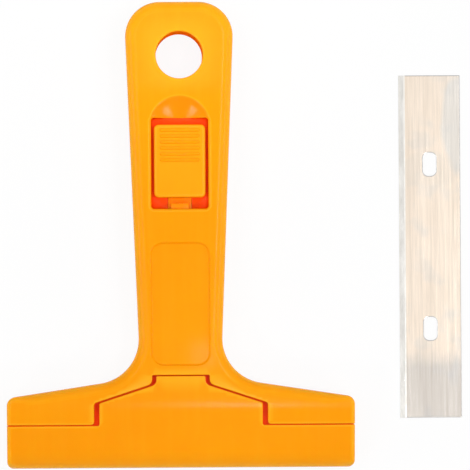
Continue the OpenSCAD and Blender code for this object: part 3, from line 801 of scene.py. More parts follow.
def moulded_orange(name, deep, plain, rough, pale=PALE_ORANGE, gloss=0.07):
    """Glossy moulded plastic: cloudy colour, flow streaks, a painted pale highlight on bent edges, painted
    red shade in gaps and recesses, and scuffed gloss.
    """
    material = bpy.data.materials.new(name)
    tree = emptied(material)
    colour = shades(tree, pattern(tree, CLOUDS, detail=3), (0.3, deep), (0.7, plain))
    flow = ranged(tree, pattern(tree, 1, FLOW, detail=3), 0.45, 0.8, 0, 0.1)
    colour = blended(tree, flow, colour, pale)
    # Painted highlight: pale orange where the face bends away
    colour = blended(tree, ranged(tree, own_value(tree, "edge_sheen"), 0.02, 0.3, 0, 0.45), colour, pale)
    scuff = pattern(tree, 1, SCUFFS, detail=4)
    coat(tree, [
        # Painted shade: red where the piece carries its deep value, in gaps, recesses and the scoop
        ("Base Color", blended(tree, own_value(tree, "deep"), colour, PAINTED_GAP_SHADE)),
        ("Roughness", ranged(tree, scuff, 0.35, 0.75, rough - 0.02, rough + 0.05)),
        ("Normal", relief(tree, pattern(tree, GRAIN), 0.03, 0.05)),
        ("Specular IOR Level", gloss),
        ("Subsurface Weight", 0.2),
        ("Subsurface Radius", (1.0, 0.35, 0.05)),
        ("Subsurface Scale", 1.5 * MM),
    ])
    return material


def patched(tree, colour, patch, place, reach, ragged):
    """Another tone round a place, with a ragged border."""
    where = add(tree, "ShaderNodeTexCoord").outputs["Object"]
    sockets = [("Vector", where), ("Location", [v * MM for v in place]), ("Scale", [v * MM for v in reach])]
    centre = add(tree, "ShaderNodeMapping", sockets, vector_type="TEXTURE").outputs[0]
    ball = add(tree, "ShaderNodeTexGradient", [("Vector", centre)], gradient_type="SPHERICAL")
    border = ranged(tree, pattern(tree, PATCH_BORDER), 0.3, 0.7, -ragged, ragged)
    spread = maths(tree, "ADD", ball.outputs["Fac"], border)
    return blended(tree, ranged(tree, spread, 0.02, 0.22, 0, 1), colour, patch, "MULTIPLY")


def brushed_steel(name, streaks, dull, bright, tint, rough=0.12, patches=()):
    """Rolled steel: streaks along its length, clouded tone, patches of other tone and fine scratches."""
    material = bpy.data.materials.new(name)
    tree = emptied(material)
    lines = pattern(tree, 1, streaks, detail=5, rough=0.7)
    colour = shades(tree, lines, (0.3, dull), (0.66, bright))
    colour = blended(tree, ranged(tree, pattern(tree, STEEL_CLOUDS), 0.4, 0.85, 0, 0.2), colour, tint)
    for patch in patches:
        colour = patched(tree, colour, *patch)
    coat(tree, [
        ("Base Color", colour),
        ("Metallic", 1.0),
        ("Roughness", ranged(tree, lines, 0.3, 0.7, rough - 0.02, rough + 0.04)),
        ("Normal", relief(tree, lines, 0.02, 0.02)),
    ])
    return material


# Finishes of this scraper

ORANGE_FRONT = moulded_orange("orange_front", (0.98, 0.325, 0.0012), (1.0, 0.35, 0.0016), 0.15)
ORANGE_COVER = moulded_orange("orange_cover", (0.98, 0.315, 0.0012), (1.0, 0.34, 0.0016), 0.15)
ORANGE_BACK = moulded_orange("orange_back", (0.97, 0.325, 0.0015), (1.0, 0.35, 0.002), 0.2)
ORANGE_BUTTON = moulded_orange("orange_button", (0.98, 0.325, 0.0015), (1.0, 0.35, 0.002), 0.17)
# Wall of the hanging hole: darker, redder orange without gloss, as painted shade in the hole
HOLE_WALL_SHADE = moulded_orange(
    "orange_hole_wall_shade", (0.95, 0.2, 0.0015), (1.0, 0.235, 0.002), 0.5, pale=(1.0, 0.3, 0.01), gloss=0.0
)
ORANGE_INNER = moulded_orange(
    "orange_inner", (0.97, 0.25, 0.0015), (1.0, 0.29, 0.002), 0.26, pale=(1.0, 0.36, 0.02)
)
BLADE_TONES = ((0.81, 0.69, 0.57), (0.92, 0.795, 0.67), (0.8, 0.72, 0.65))
# Patches of other tone on the loose blade, darker and bluer towards its low end, bluish at its upper right
# and faintly darker below that: tone, place, reach and raggedness
LOOSE_STEEL = brushed_steel(
    "loose_blade_steel",
    (2200, 45, 900),
    *BLADE_TONES,
    patches=[
        ((0.74, 0.79, 0.86), (73, -63, 0), (90, 31, 90), 0.04),
        ((0.86, 0.94, 1.03), (82, 32, 0), (6, 16, 12), 0.08),
        ((0.95, 0.97, 0.99), (73, 19, 0), (10, 6, 12), 0.06),
    ],
)
FITTED_STEEL = brushed_steel("fitted_blade_steel", (45, 2200, 900), *BLADE_TONES)
GRIND_TONES = ((0.68, 0.66, 0.62), (0.84, 0.82, 0.78), (0.74, 0.73, 0.71))
LOOSE_GRIND = brushed_steel("loose_ground_edge", (500, 120, 900), *GRIND_TONES)
FITTED_GRIND = brushed_steel("fitted_ground_edge", (120, 500, 900), *GRIND_TONES)
# Band along the crest of the ground edge, brighter steel as a painted highlight
CREST_HIGHLIGHT = brushed_steel(
    "crest_highlight", (300, 300, 300), (0.86, 0.83, 0.77), (0.96, 0.93, 0.88), (0.9, 0.88, 0.84)
)
# Cut sides and broken rims of the blades: rough sheared steel, darkened further as painted shade that
# outlines the blade
SHEARED_EDGE_SHADE = brushed_steel(
    "sheared_edge_shade", (1500, 1500, 300), (0.34, 0.33, 0.31), (0.5, 0.48, 0.46), (0.42, 0.42, 0.42), rough=0.3
)
SPRING_STEEL = brushed_steel(
    "spring_strip", (1200, 40, 600), (0.42, 0.42, 0.42), (0.66, 0.66, 0.65), (0.5, 0.52, 0.55), rough=0.26
)
ZINC = brushed_steel(
    "zinc_plate", (700, 700, 700), (0.5, 0.5, 0.5), (0.68, 0.68, 0.68), (0.6, 0.62, 0.68), rough=0.3
)


def dress(piece, body, slot, *materials):
    """Gives a finished piece its materials and body. The slot is not used."""
    piece.data.materials.clear()
    for material in materials:
        piece.data.materials.append(material)
    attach(piece, body)


def dull_hole(piece):
    """Gives the wall of the hanging hole the second finish, a darker, redder orange that is painted shade."""
    for face in piece.data.polygons:
        x, y = face.center[0] / MM, face.center[1] / MM
        if math.hypot(x, y - HOLE_Y) < HOLE_R + HOLE_TOL:
            face.material_index = 1


# Handle and cover

# Gaps between points along a line, and points round holes, bosses and threads
OUTLINE_GAP, RING_GAP, LEVEL_GAP, DETAIL_GAP, BUTTON_GAP, BLADE_GAP = 1.2, 1.3, 1.6, 0.8, 0.7, 2.5
HOLE_POINTS, SINK_POINTS, BOSS_POINTS, THREAD_POINTS, SCOOP_POINTS = 96, 40, 32, 24, 60

# Where the faces get lines of points: shares of an edge's width, or distances from an outline
EDGE_STEPS = (0.012, 0.04, 0.085, 0.15, 0.23, 0.32, 0.42, 0.54, 0.68, 0.8, 0.88, 0.94, 1.0, 1.06, 1.12)
RIDGE_STEPS = (-11, -9, -7, -5.2, -3.8, -2.8, -2, -1.4, -0.8, -0.3, 0.2, 0.7, 1.3, 2, 3)
SEAM_STEPS = (0.03, 0.09, 0.18, 0.35)
BEVEL_STEPS = (0.3, 0.58, 0.64, 0.7, 0.76, 0.84, 1.05)
HOLE_STEPS = (0.03, 0.09, 0.18, 0.3, 0.45, 0.6)
PANEL_STEPS = (-0.25, -0.02, 0.07, 0.15, 0.25, 0.375, 0.5, 0.6, 0.68, 0.77, 1.0)
SCOOP_STEPS = (0.25, 0.33, 0.4, 0.5, 0.6, 0.7, 0.78, 0.84, 0.88, 0.92, 0.95, 0.98, 1.0, 1.02, 1.05, 1.08)
SINK_STEPS = (0, 0.03, 0.09, 0.17, 0.3)
BUTTON_STEPS = (0.02, 0.06, 0.13, 0.22, 0.34, 0.48, 0.64, 0.82, 1.0)
END_RING_SHARE, SCOOP_ARC = 0.4, (-20, 200)
# Reach of the painted shade in the scoop, and width of the panel's rim that gets no painted highlight
SCOOP_SHADE_SHARE, PANEL_RIM = 0.985, 0.2


def nose_steps(length):
    """Levels across a round front edge, closer together where it is steep."""
    return [NOSE_Y + length * (1 - math.cos(math.radians(a))) for a in range(6, 91, 6)]


HEAD_STEPS = nose_steps(NOSE_L) + [RIDGE_Y + d for d in RIDGE_STEPS]


def level_line(y):
    """Line across the head, past both of its ends."""
    half = HEAD_HALF + OVERRUN / 2
    return spaced(np.array([(-half, y), (half, y)]), LEVEL_GAP, False), False


def edge_rings():
    """Lines along the border of the T."""
    return [closed_line(t_outline(BORDER_W * s, END_RING_SHARE, 0.0), RING_GAP) for s in EDGE_STEPS]


def hole_ring(d=0.0):
    """Line round the hanging hole."""
    return ring(0, HOLE_Y, HOLE_R + d, HOLE_POINTS), True


def grown(make, offsets):
    """Lines at several distances from an outline."""
    return [closed_line(make(d), DETAIL_GAP) for d in offsets]


def handle_front():
    """Front half of the handle, with window, scoop and panel, hollow behind."""
    lines = [closed_line(T_LINE, OUTLINE_GAP)]
    lines += [closed_line(line, DETAIL_GAP) for line in (OPENING, WINDOW)]
    lines.append(hole_ring())
    lines += edge_rings()
    lines += [level_line(y) for y in HEAD_STEPS if y > SEAM_Y - OVERRUN]
    lines += grown(opening_outline, SEAM_STEPS)
    lines += grown(window_outline, BEVEL_STEPS)
    lines += [hole_ring(d) for d in HOLE_STEPS]
    lines += grown(panel_outline, PANEL_STEPS)
    a = np.radians(np.linspace(*SCOOP_ARC, SCOOP_POINTS))
    for share in SCOOP_STEPS:
        r = SCOOP_R * share
        lines.append((np.column_stack([r * np.cos(a), SCOOP_Y + r * np.sin(a)]), False))

    def keep(m):
        in_hole = away(m, 0, HOLE_Y) < HOLE_R
        return inside(m, T_LINE) & ~inside(m, OPENING) & ~inside(m, WINDOW) & ~in_hole

    piece = moulding("handle_front_moulding", lines, keep, front_height, PARTING_Z)
    hollow = prism(t_outline(WALL), PARTING_Z - OVERRUN, CEILING_Z)
    carve(hollow, drum(0, HOLE_Y, *THROUGH, COLLAR_R))
    for x, y in CASE_SCREWS:
        carve(hollow, drum(x, y, *THROUGH, BOSS_R, BOSS_POINTS))
    half = SCOOP_R + SCOOP_WALL
    carve(hollow, block(0, half, WINDOW_Y, SCOOP_Y + half, SCOOP_UNDER_Z, THROUGH[1]))
    carve(piece, hollow)
    tunnel_y = WINDOW_LOW_Y + OVERRUN / 2
    tunnel_z = (CEILING_Z - OVERRUN, TOOTH_TOP_Z + FLOOR_FIT)
    carve(piece, block(0, TUNNEL_HALF, TUNNEL_LOW_Y, tunnel_y, *tunnel_z))
    for x, y in CASE_SCREWS:
        top = CASE_TIP_Z + TIP_FIT
        carve(piece, drum(x, y, PARTING_Z - OVERRUN, top, CASE_THREAD_R + THREAD_FIT, THREAD_POINTS))
    shade(piece, front_height)
    paint_scoop_shade(piece)
    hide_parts("handle_front")
    dress(piece, "handle", "moulding_front", ORANGE_FRONT, HOLE_WALL_SHADE)
    dull_hole(piece)


def paint_scoop_shade(piece):
    """Paints shade in the scoop as a darker, redder colour, and keeps the painted edge highlight off the
    panel's rim.
    """
    edge_sheen, deep = (piece.data.attributes[name].data for name in ("edge_sheen", "deep"))
    for spot in piece.data.vertices:
        x, y, z = (v / MM for v in spot.co)
        in_scoop = math.hypot(x, y - SCOOP_Y) < SCOOP_R * SCOOP_SHADE_SHARE
        # Painted shade in the thumb scoop
        if in_scoop and z > CEILING_Z - OVERRUN and y > WINDOW_Y:
            deep[spot.index].value = max(deep[spot.index].value, SCOOP_SHADE)
        if abs(x) < PANEL_HALF + PANEL_RIM and PANEL_LOW_Y - PANEL_RIM < y < PANEL_Y + PANEL_RIM:
            edge_sheen[spot.index].value = 0


def handle_back():
    """Back half of the handle, with screw sinks outside and everything that guides the slide inside."""
    lines = [closed_line(T_LINE, OUTLINE_GAP), hole_ring()]
    lines += edge_rings()
    lines += [level_line(y) for y in nose_steps(HEEL_L)]
    lines += [hole_ring(d) for d in HOLE_STEPS]
    for x, y in CASE_SCREWS:
        lines += [(ring(x, y, CASE_SINK_R + d, SINK_POINTS), True) for d in SINK_STEPS]

    def keep(m):
        kept = inside(m, T_LINE) & (away(m, 0, HOLE_Y) > HOLE_R)
        for x, y in CASE_SCREWS:
            kept &= away(m, x, y) > CASE_SINK_R
        return kept

    piece = moulding("handle_back_moulding", lines, keep, back_height, FACE_Z - PARTING_Z, flipped=True)
    hollow = prism(t_outline(WALL), WALL, PARTING_Z + OVERRUN)
    carve(hollow, block(0, CLEAR_X, -CLEAR_Y, SOLID_HEAD_Y, *THROUGH))
    carve(hollow, drum(0, HOLE_Y, *THROUGH, COLLAR_R))
    carve(piece, hollow)
    cut_pockets(piece)
    for x, y in CASE_SCREWS:
        join_on(piece, drum(x, y, CASE_SEAT_Z, PARTING_Z, BOSS_R, BOSS_POINTS))
        carve(piece, drum(x, y, 0, POCKET_TOP_Z, CASE_THREAD_R + SHANK_FIT, THREAD_POINTS))
    for y in SADDLE_Y:
        z = (WALL - OVERLAP, SADDLE_TOP_Z)
        saddle = block(0, SADDLE_HALF, y, y + SADDLE_L, *z, SADDLE_EDGE)
        half, end = BAR_HALF + FLOOR_FIT, y + SADDLE_L + OVERRUN
        carve(saddle, block(0, half, y - OVERRUN, end, BAR_Z - FLOOR_FIT, SADDLE_TOP_Z + OVERRUN))
        join_on(piece, saddle)
    join_on(piece, prism_along_x(RACK_HALF, rack_outline()))
    shade(piece, back_height, flipped=True)
    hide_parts("handle_back")
    dress(piece, "handle", "moulding_back", ORANGE_BACK, HOLE_WALL_SHADE)
    dull_hole(piece)


def cut_pockets(piece):
    """Bed of the blade, pockets of the carrier and its stem, two cells at each end, and the stem's guides."""
    floor_z = CARRIER_Z - FLOOR_FIT
    carve(piece, block(0, CLEAR_X, NOSE_Y - OVERRUN, BED_Y, BED_Z, POCKET_TOP_Z))
    half = CARRIER_HALF + SLIDE_FIT
    y = (CARRIER_LOW_Y - POCKET_DOWN, CARRIER_Y + SLIDE_FIT)
    carve(piece, block(0, half, *y, floor_z, POCKET_TOP_Z))
    half = STEM_HALF + SLIDE_FIT
    carve(piece, block(0, half, STEM_POCKET_LOW_Y, STEM_POCKET_Y, floor_z, POCKET_TOP_Z))
    for side in (-1, 1):
        for middle in CELL_X:
            carve(piece, block(side * middle, CELL_HALF, CELL_LOW_Y, CELL_Y, CELL_Z, POCKET_TOP_Z))
        y, z = (SOLID_HEAD_Y - OVERLAP, STEM_Y), (WALL - OVERLAP, floor_z)
        join_on(piece, block(side * GUIDE_X, GUIDE_HALF, *y, *z))


def rack_outline():
    """Detent rack from the side, with a notch for each end of the travel."""
    low = WALL - OVERLAP
    points = [(RACK_LOW_Y, low), (RACK_Y, low), (RACK_Y, RACK_Z)]
    for y in reversed(NOTCH_Y):
        points += [(y + NOTCH_HALF, RACK_Z), (y, RACK_Z - NOTCH_DEPTH), (y - NOTCH_HALF, RACK_Z)]
    return points + [(RACK_LOW_Y, RACK_Z)]


def head_cover():
    """Cover of the blade's chamber, ribbed inside, with a lip under the handle and a lap under the seam."""
    lines = [closed_line(T_LINE, OUTLINE_GAP), closed_line(COVER, DETAIL_GAP)]
    lines += edge_rings()
    lines += [level_line(y) for y in HEAD_STEPS]
    lines += grown(lambda d: cover_outline(-d, -d, -d, -d), SEAM_STEPS)

    def keep(m):
        return inside(m, T_LINE) & inside(m, COVER)

    piece = moulding("head_cover_moulding", lines, keep, cover_height, COVER_Z)
    join_on(piece, cover_lip())
    lap = prism(cover_outline(LAP_SEAM, LAP_STEP, LAP_SHOULDER, LAP_TAB), LAP_Z, LAP_TOP_Z)
    carve(lap, block(0, HEAD_HALF, SEAM_Y - LAP_DOWN, END_Y, *THROUGH), "INTERSECT")
    carve(lap, prism(t_outline(LAP_EDGE), *THROUGH), "INTERSECT")
    join_on(piece, lap)
    carve(piece, cover_pocket())
    shade(piece, cover_height)
    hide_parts("head_cover")
    dress(piece, "cover", "moulding_cover", ORANGE_COVER)


def cover_pocket():
    """Hollow of the cover between its ribs."""
    pocket = prism(cover_outline(*[-COVER_WALL] * 4), COVER_Z - OVERRUN, LIP_Z + OVERLAP)
    half = HEAD_HALF - COVER_WALL
    carve(pocket, block(0, half, NOSE_Y + NOSE_L, TAB_Y, *THROUGH), "INTERSECT")
    for share in COVER_RIB_SHARES:
        carve(pocket, block(share * HEAD_HALF, COVER_RIB_HALF, NOSE_Y, TAB_Y, *THROUGH))
    return pocket


def cover_lip():
    """Lip that reaches under the edge of the handle."""
    lip = prism(cover_outline(LIP_W, LIP_W + STEP_GAP, LIP_W, -TAB_GAP), LIP_Z, LIP_TOP_Z)
    z = (LIP_Z + SHY, LIP_TOP_Z - SHY)
    join_on(lip, block(0, LIP_TAB_HALF, FOOT_Y, TAB_Y + LIP_TAB_OVER, *z))
    carve(lip, block(0, HEAD_HALF, NOSE_Y + NOSE_L, END_Y, *THROUGH), "INTERSECT")
    return carve(lip, prism(t_outline(WALL + SLIDE_FIT), *THROUGH), "INTERSECT")


# Slide: button, bar and carrier


def slide_button():
    """Button with rails under the edges of the window, ears beside the tongue and a keel on the bar."""
    outline = button_outline()
    lines = [closed_line(outline, BUTTON_GAP)]
    lines += [closed_line(button_outline(BUTTON_EDGE * share), BUTTON_GAP) for share in BUTTON_STEPS]

    def keep(m):
        return inside(m, outline)

    piece = moulding("slide_button_moulding", lines, keep, button_height, RAIL_Z, RIM_EDGE)
    y = (BUTTON_LOW_Y, RAIL_BACK_Y)
    join_on(piece, block(0, RAIL_HALF, *y, RAIL_Z - SHY, RAIL_TOP_Z, RAIL_EDGE))
    for side in (-1, 1):
        middle, half = side * (RAIL_HALF - SHY + EAR_X) / 2, (RAIL_HALF - SHY - EAR_X) / 2
        y = (EAR_LOW_Y, BUTTON_LOW_Y + OVERRUN)
        join_on(piece, block(middle, half, *y, RAIL_Z, RAIL_TOP_Z - SHY, RAIL_EDGE))
    y = (BUTTON_LOW_Y + SHY, BUTTON_Y - SHY)
    join_on(piece, block(0, KEEL_HALF, *y, BAR_TOP_Z, RAIL_TOP_Z - KEEL_IN))
    carve(piece, drive_hole(BUTTON_SCREW_Y, (BAR_TOP_Z - OVERRUN, BAR_TOP_Z + BUTTON_HOLE_L)))
    shade(piece, button_height)
    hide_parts("slide_button")
    dress(piece, "slider", "moulding_button", ORANGE_BUTTON)


def drive_hole(y, z=THROUGH):
    """Tool for the hole of a small screw."""
    return drum(0, y, *z, DRIVE_THREAD_R + THREAD_FIT, THREAD_POINTS)


def drive_bar():
    """Bar with its tongue and tooth in the window, and the stake that holds the spring."""
    piece = block(0, BAR_HALF, BAR_LOW_Y, BAR_Y, BAR_Z, BAR_TOP_Z, BAR_EDGE)
    low = BAR_TOP_Z - TOOTH_IN
    join_on(piece, block(0, TOOTH_HALF, TOOTH_LOW_Y, TOOTH_Y, low, TOOTH_TOP_Z, TOOTH_EDGE))
    half = BAR_HALF - SHY
    join_on(piece, block(0, half, TONGUE_LOW_Y, TONGUE_Y, low, TONGUE_TOP_Z, TONGUE_EDGE))
    join_on(piece, drum(0, STAKE_Y, STAKE_Z, BAR_Z + OVERLAP, STAKE_R, THREAD_POINTS))
    join_on(piece, drum(0, STAKE_Y, STAKE_Z, STAKE_HEAD_Z, STAKE_HEAD_R, BOSS_POINTS))
    for y in (JOINT_SCREW_Y, BUTTON_SCREW_Y):
        carve(piece, drive_hole(y))
    piece.name = piece.data.name = "drive_bar_moulding"
    shade(piece)
    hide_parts("drive_bar")
    dress(piece, "slider", "moulding_inner", ORANGE_INNER)


def blade_carrier():
    """Cross piece on a stem, with a post for each slot of the blade."""
    piece = block(0, CARRIER_HALF, CARRIER_LOW_Y, CARRIER_Y, CARRIER_Z, BAR_Z, BAR_EDGE)
    y, z = (CARRIER_LOW_Y + STEM_IN, STEM_Y), (CARRIER_Z + SHY, BAR_Z - SHY)
    join_on(piece, block(0, STEM_HALF, *y, *z, BAR_EDGE))
    for side in (-1, 1):
        post = plate(side * SLOT_AT, POST_HALF, POST_LOW_Y, POST_Y, POST_R)
        join_on(piece, prism(post, BAR_Z - POST_IN, PARTING_Z))
    carve(piece, drive_hole(JOINT_SCREW_Y))
    piece.name = piece.data.name = "blade_carrier_moulding"
    shade(piece)
    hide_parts("blade_carrier")
    dress(piece, "slider", "moulding_inner", ORANGE_INNER)


# Razor blades


# Numbers of a blade's finishes, after its plain steel
GROUND, CUT, CREST_HIGHLIGHT_LINE = 1, 2, 3
BREAK_LEAST, BREAK_SHARE, BLADE_TURN, BREAK_TURN, BREAK_R, BLADE_ANGLE = 0.2, 0.9, 30, 45, 0.05, 4.0


def razor_blade(name, node, body, place, upright, steel, grind):
    """Blade with a ground cutting edge on both faces, two slots and slightly broken edges."""
    outline = plate(0, BLADE_HALF_L, -BLADE_HALF_W, BLADE_HALF_W, BLADE_CORNER_R, BLADE_TURN)
    slots = [slot_outline(side) for side in (-1, 1)]
    grind_y = -BLADE_HALF_W + GRIND_W
    far = BLADE_HALF_L + OVERRUN
    lines = [closed_line(outline, BLADE_GAP)] + [(slot, True) for slot in slots]
    for y in (grind_y - CREST_HALF, grind_y + CREST_HALF):
        lines.append((np.array([(-far, y), (far, y)]), False))
    half_l, y = BLADE_HALF_L - BREAK_W, (-BLADE_HALF_W - OVERRUN, BLADE_HALF_W - BREAK_W)
    lines.append((plate(0, half_l, *y, BREAK_R, BREAK_TURN), True))
    lines += [(slot_outline(side, BREAK_W), True) for side in (-1, 1)]

    def keep(m):
        return inside(m, outline) & ~inside(m, slots[0]) & ~inside(m, slots[1])

    spots, faces = surface(lines, keep)
    brink = np.minimum(distance(spots, sides(slots[0])), distance(spots, sides(slots[1])))
    brink = np.minimum(brink, np.minimum(BLADE_HALF_L - np.abs(spots[:, 0]), BLADE_HALF_W - spots[:, 1]))
    half = np.interp(spots[:, 1], (-BLADE_HALF_W, grind_y), (EDGE_T / 2, BLADE_T / 2))
    broken = BREAK_D * np.clip(1 - brink / BREAK_W, 0, 1) * (half > BREAK_LEAST)
    half = np.minimum(half, BLADE_T / 2 - broken)
    flat = np.column_stack([spots[:, 1], -spots[:, 0]]) if upright else spots
    upper = np.column_stack([flat, BLADE_T / 2 + half])
    lower = np.column_stack([flat, BLADE_T / 2 - half])
    count = len(spots)
    solid = [tuple(f) for f in faces] + [tuple(count + i for i in f[::-1]) for f in faces]
    for loop in rims(faces):
        for i, a in enumerate(loop):
            b = loop[(i + 1) % len(loop)]
            solid.append((count + a, count + b, b, a))
    piece = piece_from(name, np.concatenate([upper, lower]) + place, solid)
    shade(piece, sharp=BLADE_ANGLE)
    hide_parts(node)
    dress(piece, body, "blade_steel", steel, grind, SHEARED_EDGE_SHADE, CREST_HIGHLIGHT)
    for face in piece.data.polygons:
        # Sides and broken rims get the sheared steel with its painted shade
        if face.index >= 2 * len(faces):
            face.material_index = CUT
            continue
        corners = list(faces[face.index % len(faces)])
        up = spots[corners][:, 1].mean() - grind_y
        # The crest of the grind gets the painted highlight
        if up < CREST_HALF:
            face.material_index = GROUND if up < -CREST_HALF else CREST_HIGHLIGHT_LINE
        elif brink[corners].mean() < BREAK_W * BREAK_SHARE:
            face.material_index = CUT


# Repeated pieces by Geometry Nodes


def node_tree(name, sizes):
    """An empty Geometry Nodes tree with named sizes in metres or counts."""
    tree = bpy.data.node_groups.new(name, "GeometryNodeTree")
    tree.interface.new_socket("Geometry", in_out="OUTPUT", socket_type="NodeSocketGeometry")
    for label, value in sizes.items():
        kind = "NodeSocketInt" if isinstance(value, int) else "NodeSocketFloat"
        tree.interface.new_socket(label, in_out="INPUT", socket_type=kind).default_value = value
    return tree, tree.nodes.new("NodeGroupInput"), tree.nodes.new("NodeGroupOutput")


def vector(tree, x=0.0, y=0.0, z=0.0):
    """A vector from three numbers or values."""
    return add(tree, "ShaderNodeCombineXYZ", [("X", x), ("Y", y), ("Z", z)]).outputs[0]


def split_position(tree):
    """X, Y and Z of each point."""
    place = add(tree, "GeometryNodeInputPosition")
    return add(tree, "ShaderNodeSeparateXYZ", [(0, place.outputs[0])]).outputs


def lifted(tree, shape, z, turn=0.0):
    """A shape turned about Z and moved along it."""
    settings = [("Geometry", shape), ("Rotation", (0.0, 0.0, turn)), ("Translation", vector(tree, z=z))]
    return add(tree, "GeometryNodeTransform", settings).outputs[0]


def line_of_points(tree, count, start, offset):
    """Points at even steps from a start."""
    settings = [("Count", count), ("Start Location", start), ("Offset", offset)]
    return add(tree, "GeometryNodeMeshLine", settings, mode="OFFSET").outputs["Mesh"]


def on_points(tree, points, shape, rotation=(0.0, 0.0, 0.0)):
    """Copies of a shape on points."""
    settings = [("Points", points), ("Instance", shape), ("Rotation", rotation)]
    return add(tree, "GeometryNodeInstanceOnPoints", settings).outputs[0]


def coated(tree, shape, material):
    """A shape with its material."""
    return add(tree, "GeometryNodeSetMaterial", [("Geometry", shape), ("Material", material)]).outputs[0]


def grow(name, tree, sizes):
    """Runs a tree on an empty mesh, with its sizes set, and returns the result as a plain piece."""
    piece = bpy.data.objects.new(name, bpy.data.meshes.new(name))
    bpy.context.scene.collection.objects.link(piece)
    step = piece.modifiers.new("grow", "NODES")
    step.node_group = tree
    for item in tree.interface.items_tree:
        if item.in_out == "INPUT" and item.name in sizes:
            step[item.identifier] = sizes[item.name]
    settle(piece)
    piece.data.name = name
    return piece


RIB_WIDTH_SHARE, RIB_SINK, RIB_POINTS = 0.3, 0.01, 24
HEAD_POINTS, DOME_SHARE, RECESS_L_SHARE, RECESS_W_SHARE, SCREW_ANGLE = 40, 0.35, 1.2, 0.3, 38.0


def thumb_ribs():
    """Row of round-backed ribs across the button."""
    sizes = {
        "Count": RIB_COUNT,
        "Pitch": RIB_PITCH * MM,
        "Half Length": RIB_HALF * MM,
        "Rise": (RIB_RISE - RIB_SINK) * MM,
        "Half Width": RIB_PITCH * RIB_WIDTH_SHARE * MM,
        "First Y": RIB_FIRST_Y * MM,
        "Base Z": BUTTON_Z * MM,
    }
    tree, given, out = node_tree("thumb_rib_row", sizes)
    value = given.outputs
    start = vector(tree, 0.0, value["First Y"], value["Base Z"])
    row = line_of_points(tree, value["Count"], start, vector(tree, y=times(tree, value["Pitch"], -1.0)))
    settings = [("Segments", RIB_POINTS), ("Rings", RIB_POINTS), ("Radius", 1.0)]
    ball = add(tree, "GeometryNodeMeshUVSphere", settings)
    settings = [("Geometry", ball.outputs["Mesh"]), ("Rotation", (0.0, math.pi / 2, 0.0))]
    turned = add(tree, "GeometryNodeTransform", settings)
    place = split_position(tree)
    side = add(tree, "ShaderNodeMath", [(0, place["X"])], operation="SIGN").outputs[0]
    reach = maths(tree, "SUBTRACT", value["Half Length"], value["Half Width"])
    x = maths(tree, "ADD", times(tree, side, reach), times(tree, place["X"], value["Half Width"]))
    y, z = times(tree, place["Y"], value["Half Width"]), times(tree, place["Z"], value["Rise"])
    settings = [("Geometry", turned.outputs[0]), ("Position", vector(tree, x, y, z))]
    rib = add(tree, "GeometryNodeSetPosition", settings)
    placed = on_points(tree, row, rib.outputs[0])
    real = add(tree, "GeometryNodeRealizeInstances", [("Geometry", placed)])
    smooth = add(tree, "GeometryNodeSetShadeSmooth", [(0, real.outputs[0])])
    tree.links.new(coated(tree, smooth.outputs[0], ORANGE_BUTTON), out.inputs[0])
    piece = grow("thumb_ribs", tree, sizes)
    shade(piece)
    dress(piece, "slider", "moulding_button", ORANGE_BUTTON)


def screw_head(tree, radius, height):
    """Domed head below its seat, with a cross recess."""
    settings = [("Vertices", HEAD_POINTS), ("Side Segments", 1), ("Fill Segments", 2)]
    settings += [("Radius", radius), ("Depth", height)]
    disc = add(tree, "GeometryNodeMeshCylinder", settings)
    place = split_position(tree)
    away = maths(tree, "ADD", times(tree, place["X"], place["X"]), times(tree, place["Y"], place["Y"]))
    share = maths(tree, "DIVIDE", away, times(tree, radius, radius))
    outside = maths(tree, "LESS_THAN", place["Z"], 0.0)
    lift = times(tree, times(tree, share, outside), times(tree, height, DOME_SHARE))
    settings = [("Geometry", disc.outputs["Mesh"]), ("Offset", vector(tree, z=lift))]
    domed = add(tree, "GeometryNodeSetPosition", settings)
    crossed = add(tree, "GeometryNodeMeshBoolean", operation="DIFFERENCE")
    tree.links.new(lifted(tree, domed.outputs[0], times(tree, height, -0.5)), crossed.inputs[0])
    for turn in (0.0, math.pi / 2):
        size = vector(tree, times(tree, radius, RECESS_L_SHARE), times(tree, radius, RECESS_W_SHARE), height)
        arm = add(tree, "GeometryNodeMeshCube", [("Size", size)])
        tree.links.new(lifted(tree, arm.outputs["Mesh"], times(tree, height, -1.0), turn), crossed.inputs[1])
    return crossed.outputs[0]


def screw_tree(name, sizes):
    """Pan head screw with a cross recess, on two rows of points, pointing up from its head."""
    tree, given, out = node_tree(name, sizes)
    value = given.outputs
    settings = [("Vertices", THREAD_POINTS), ("Radius", value["Thread Radius"]), ("Depth", value["Length"])]
    shank = add(tree, "GeometryNodeMeshCylinder", settings)
    whole = add(tree, "GeometryNodeJoinGeometry")
    tree.links.new(screw_head(tree, value["Head Radius"], value["Head Height"]), whole.inputs[0])
    tree.links.new(lifted(tree, shank.outputs["Mesh"], times(tree, value["Length"], 0.5)), whole.inputs[0])
    rows = add(tree, "GeometryNodeJoinGeometry")
    for row in ("Upper", "Lower"):
        half = value[row + " Half Spread"]
        start = vector(tree, times(tree, half, -1.0), value[row + " Y"], value[row + " Seat Z"])
        points = line_of_points(tree, value["Per Row"], start, vector(tree, times(tree, half, 2.0)))
        placed = on_points(tree, points, whole.outputs[0], vector(tree, value[row + " Tip"]))
        tree.links.new(placed, rows.inputs[0])
    real = add(tree, "GeometryNodeRealizeInstances", [("Geometry", rows.outputs[0])])
    tree.links.new(coated(tree, real.outputs[0], ZINC), out.inputs[0])
    return tree


def screws(name, body, nodes, sizes):
    """Screws of one kind, as one piece."""
    piece = grow(name, screw_tree(name + "_rows", sizes), sizes)
    shade(piece, sharp=SCREW_ANGLE)
    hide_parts(*nodes)
    dress(piece, body, "screw_steel", ZINC)


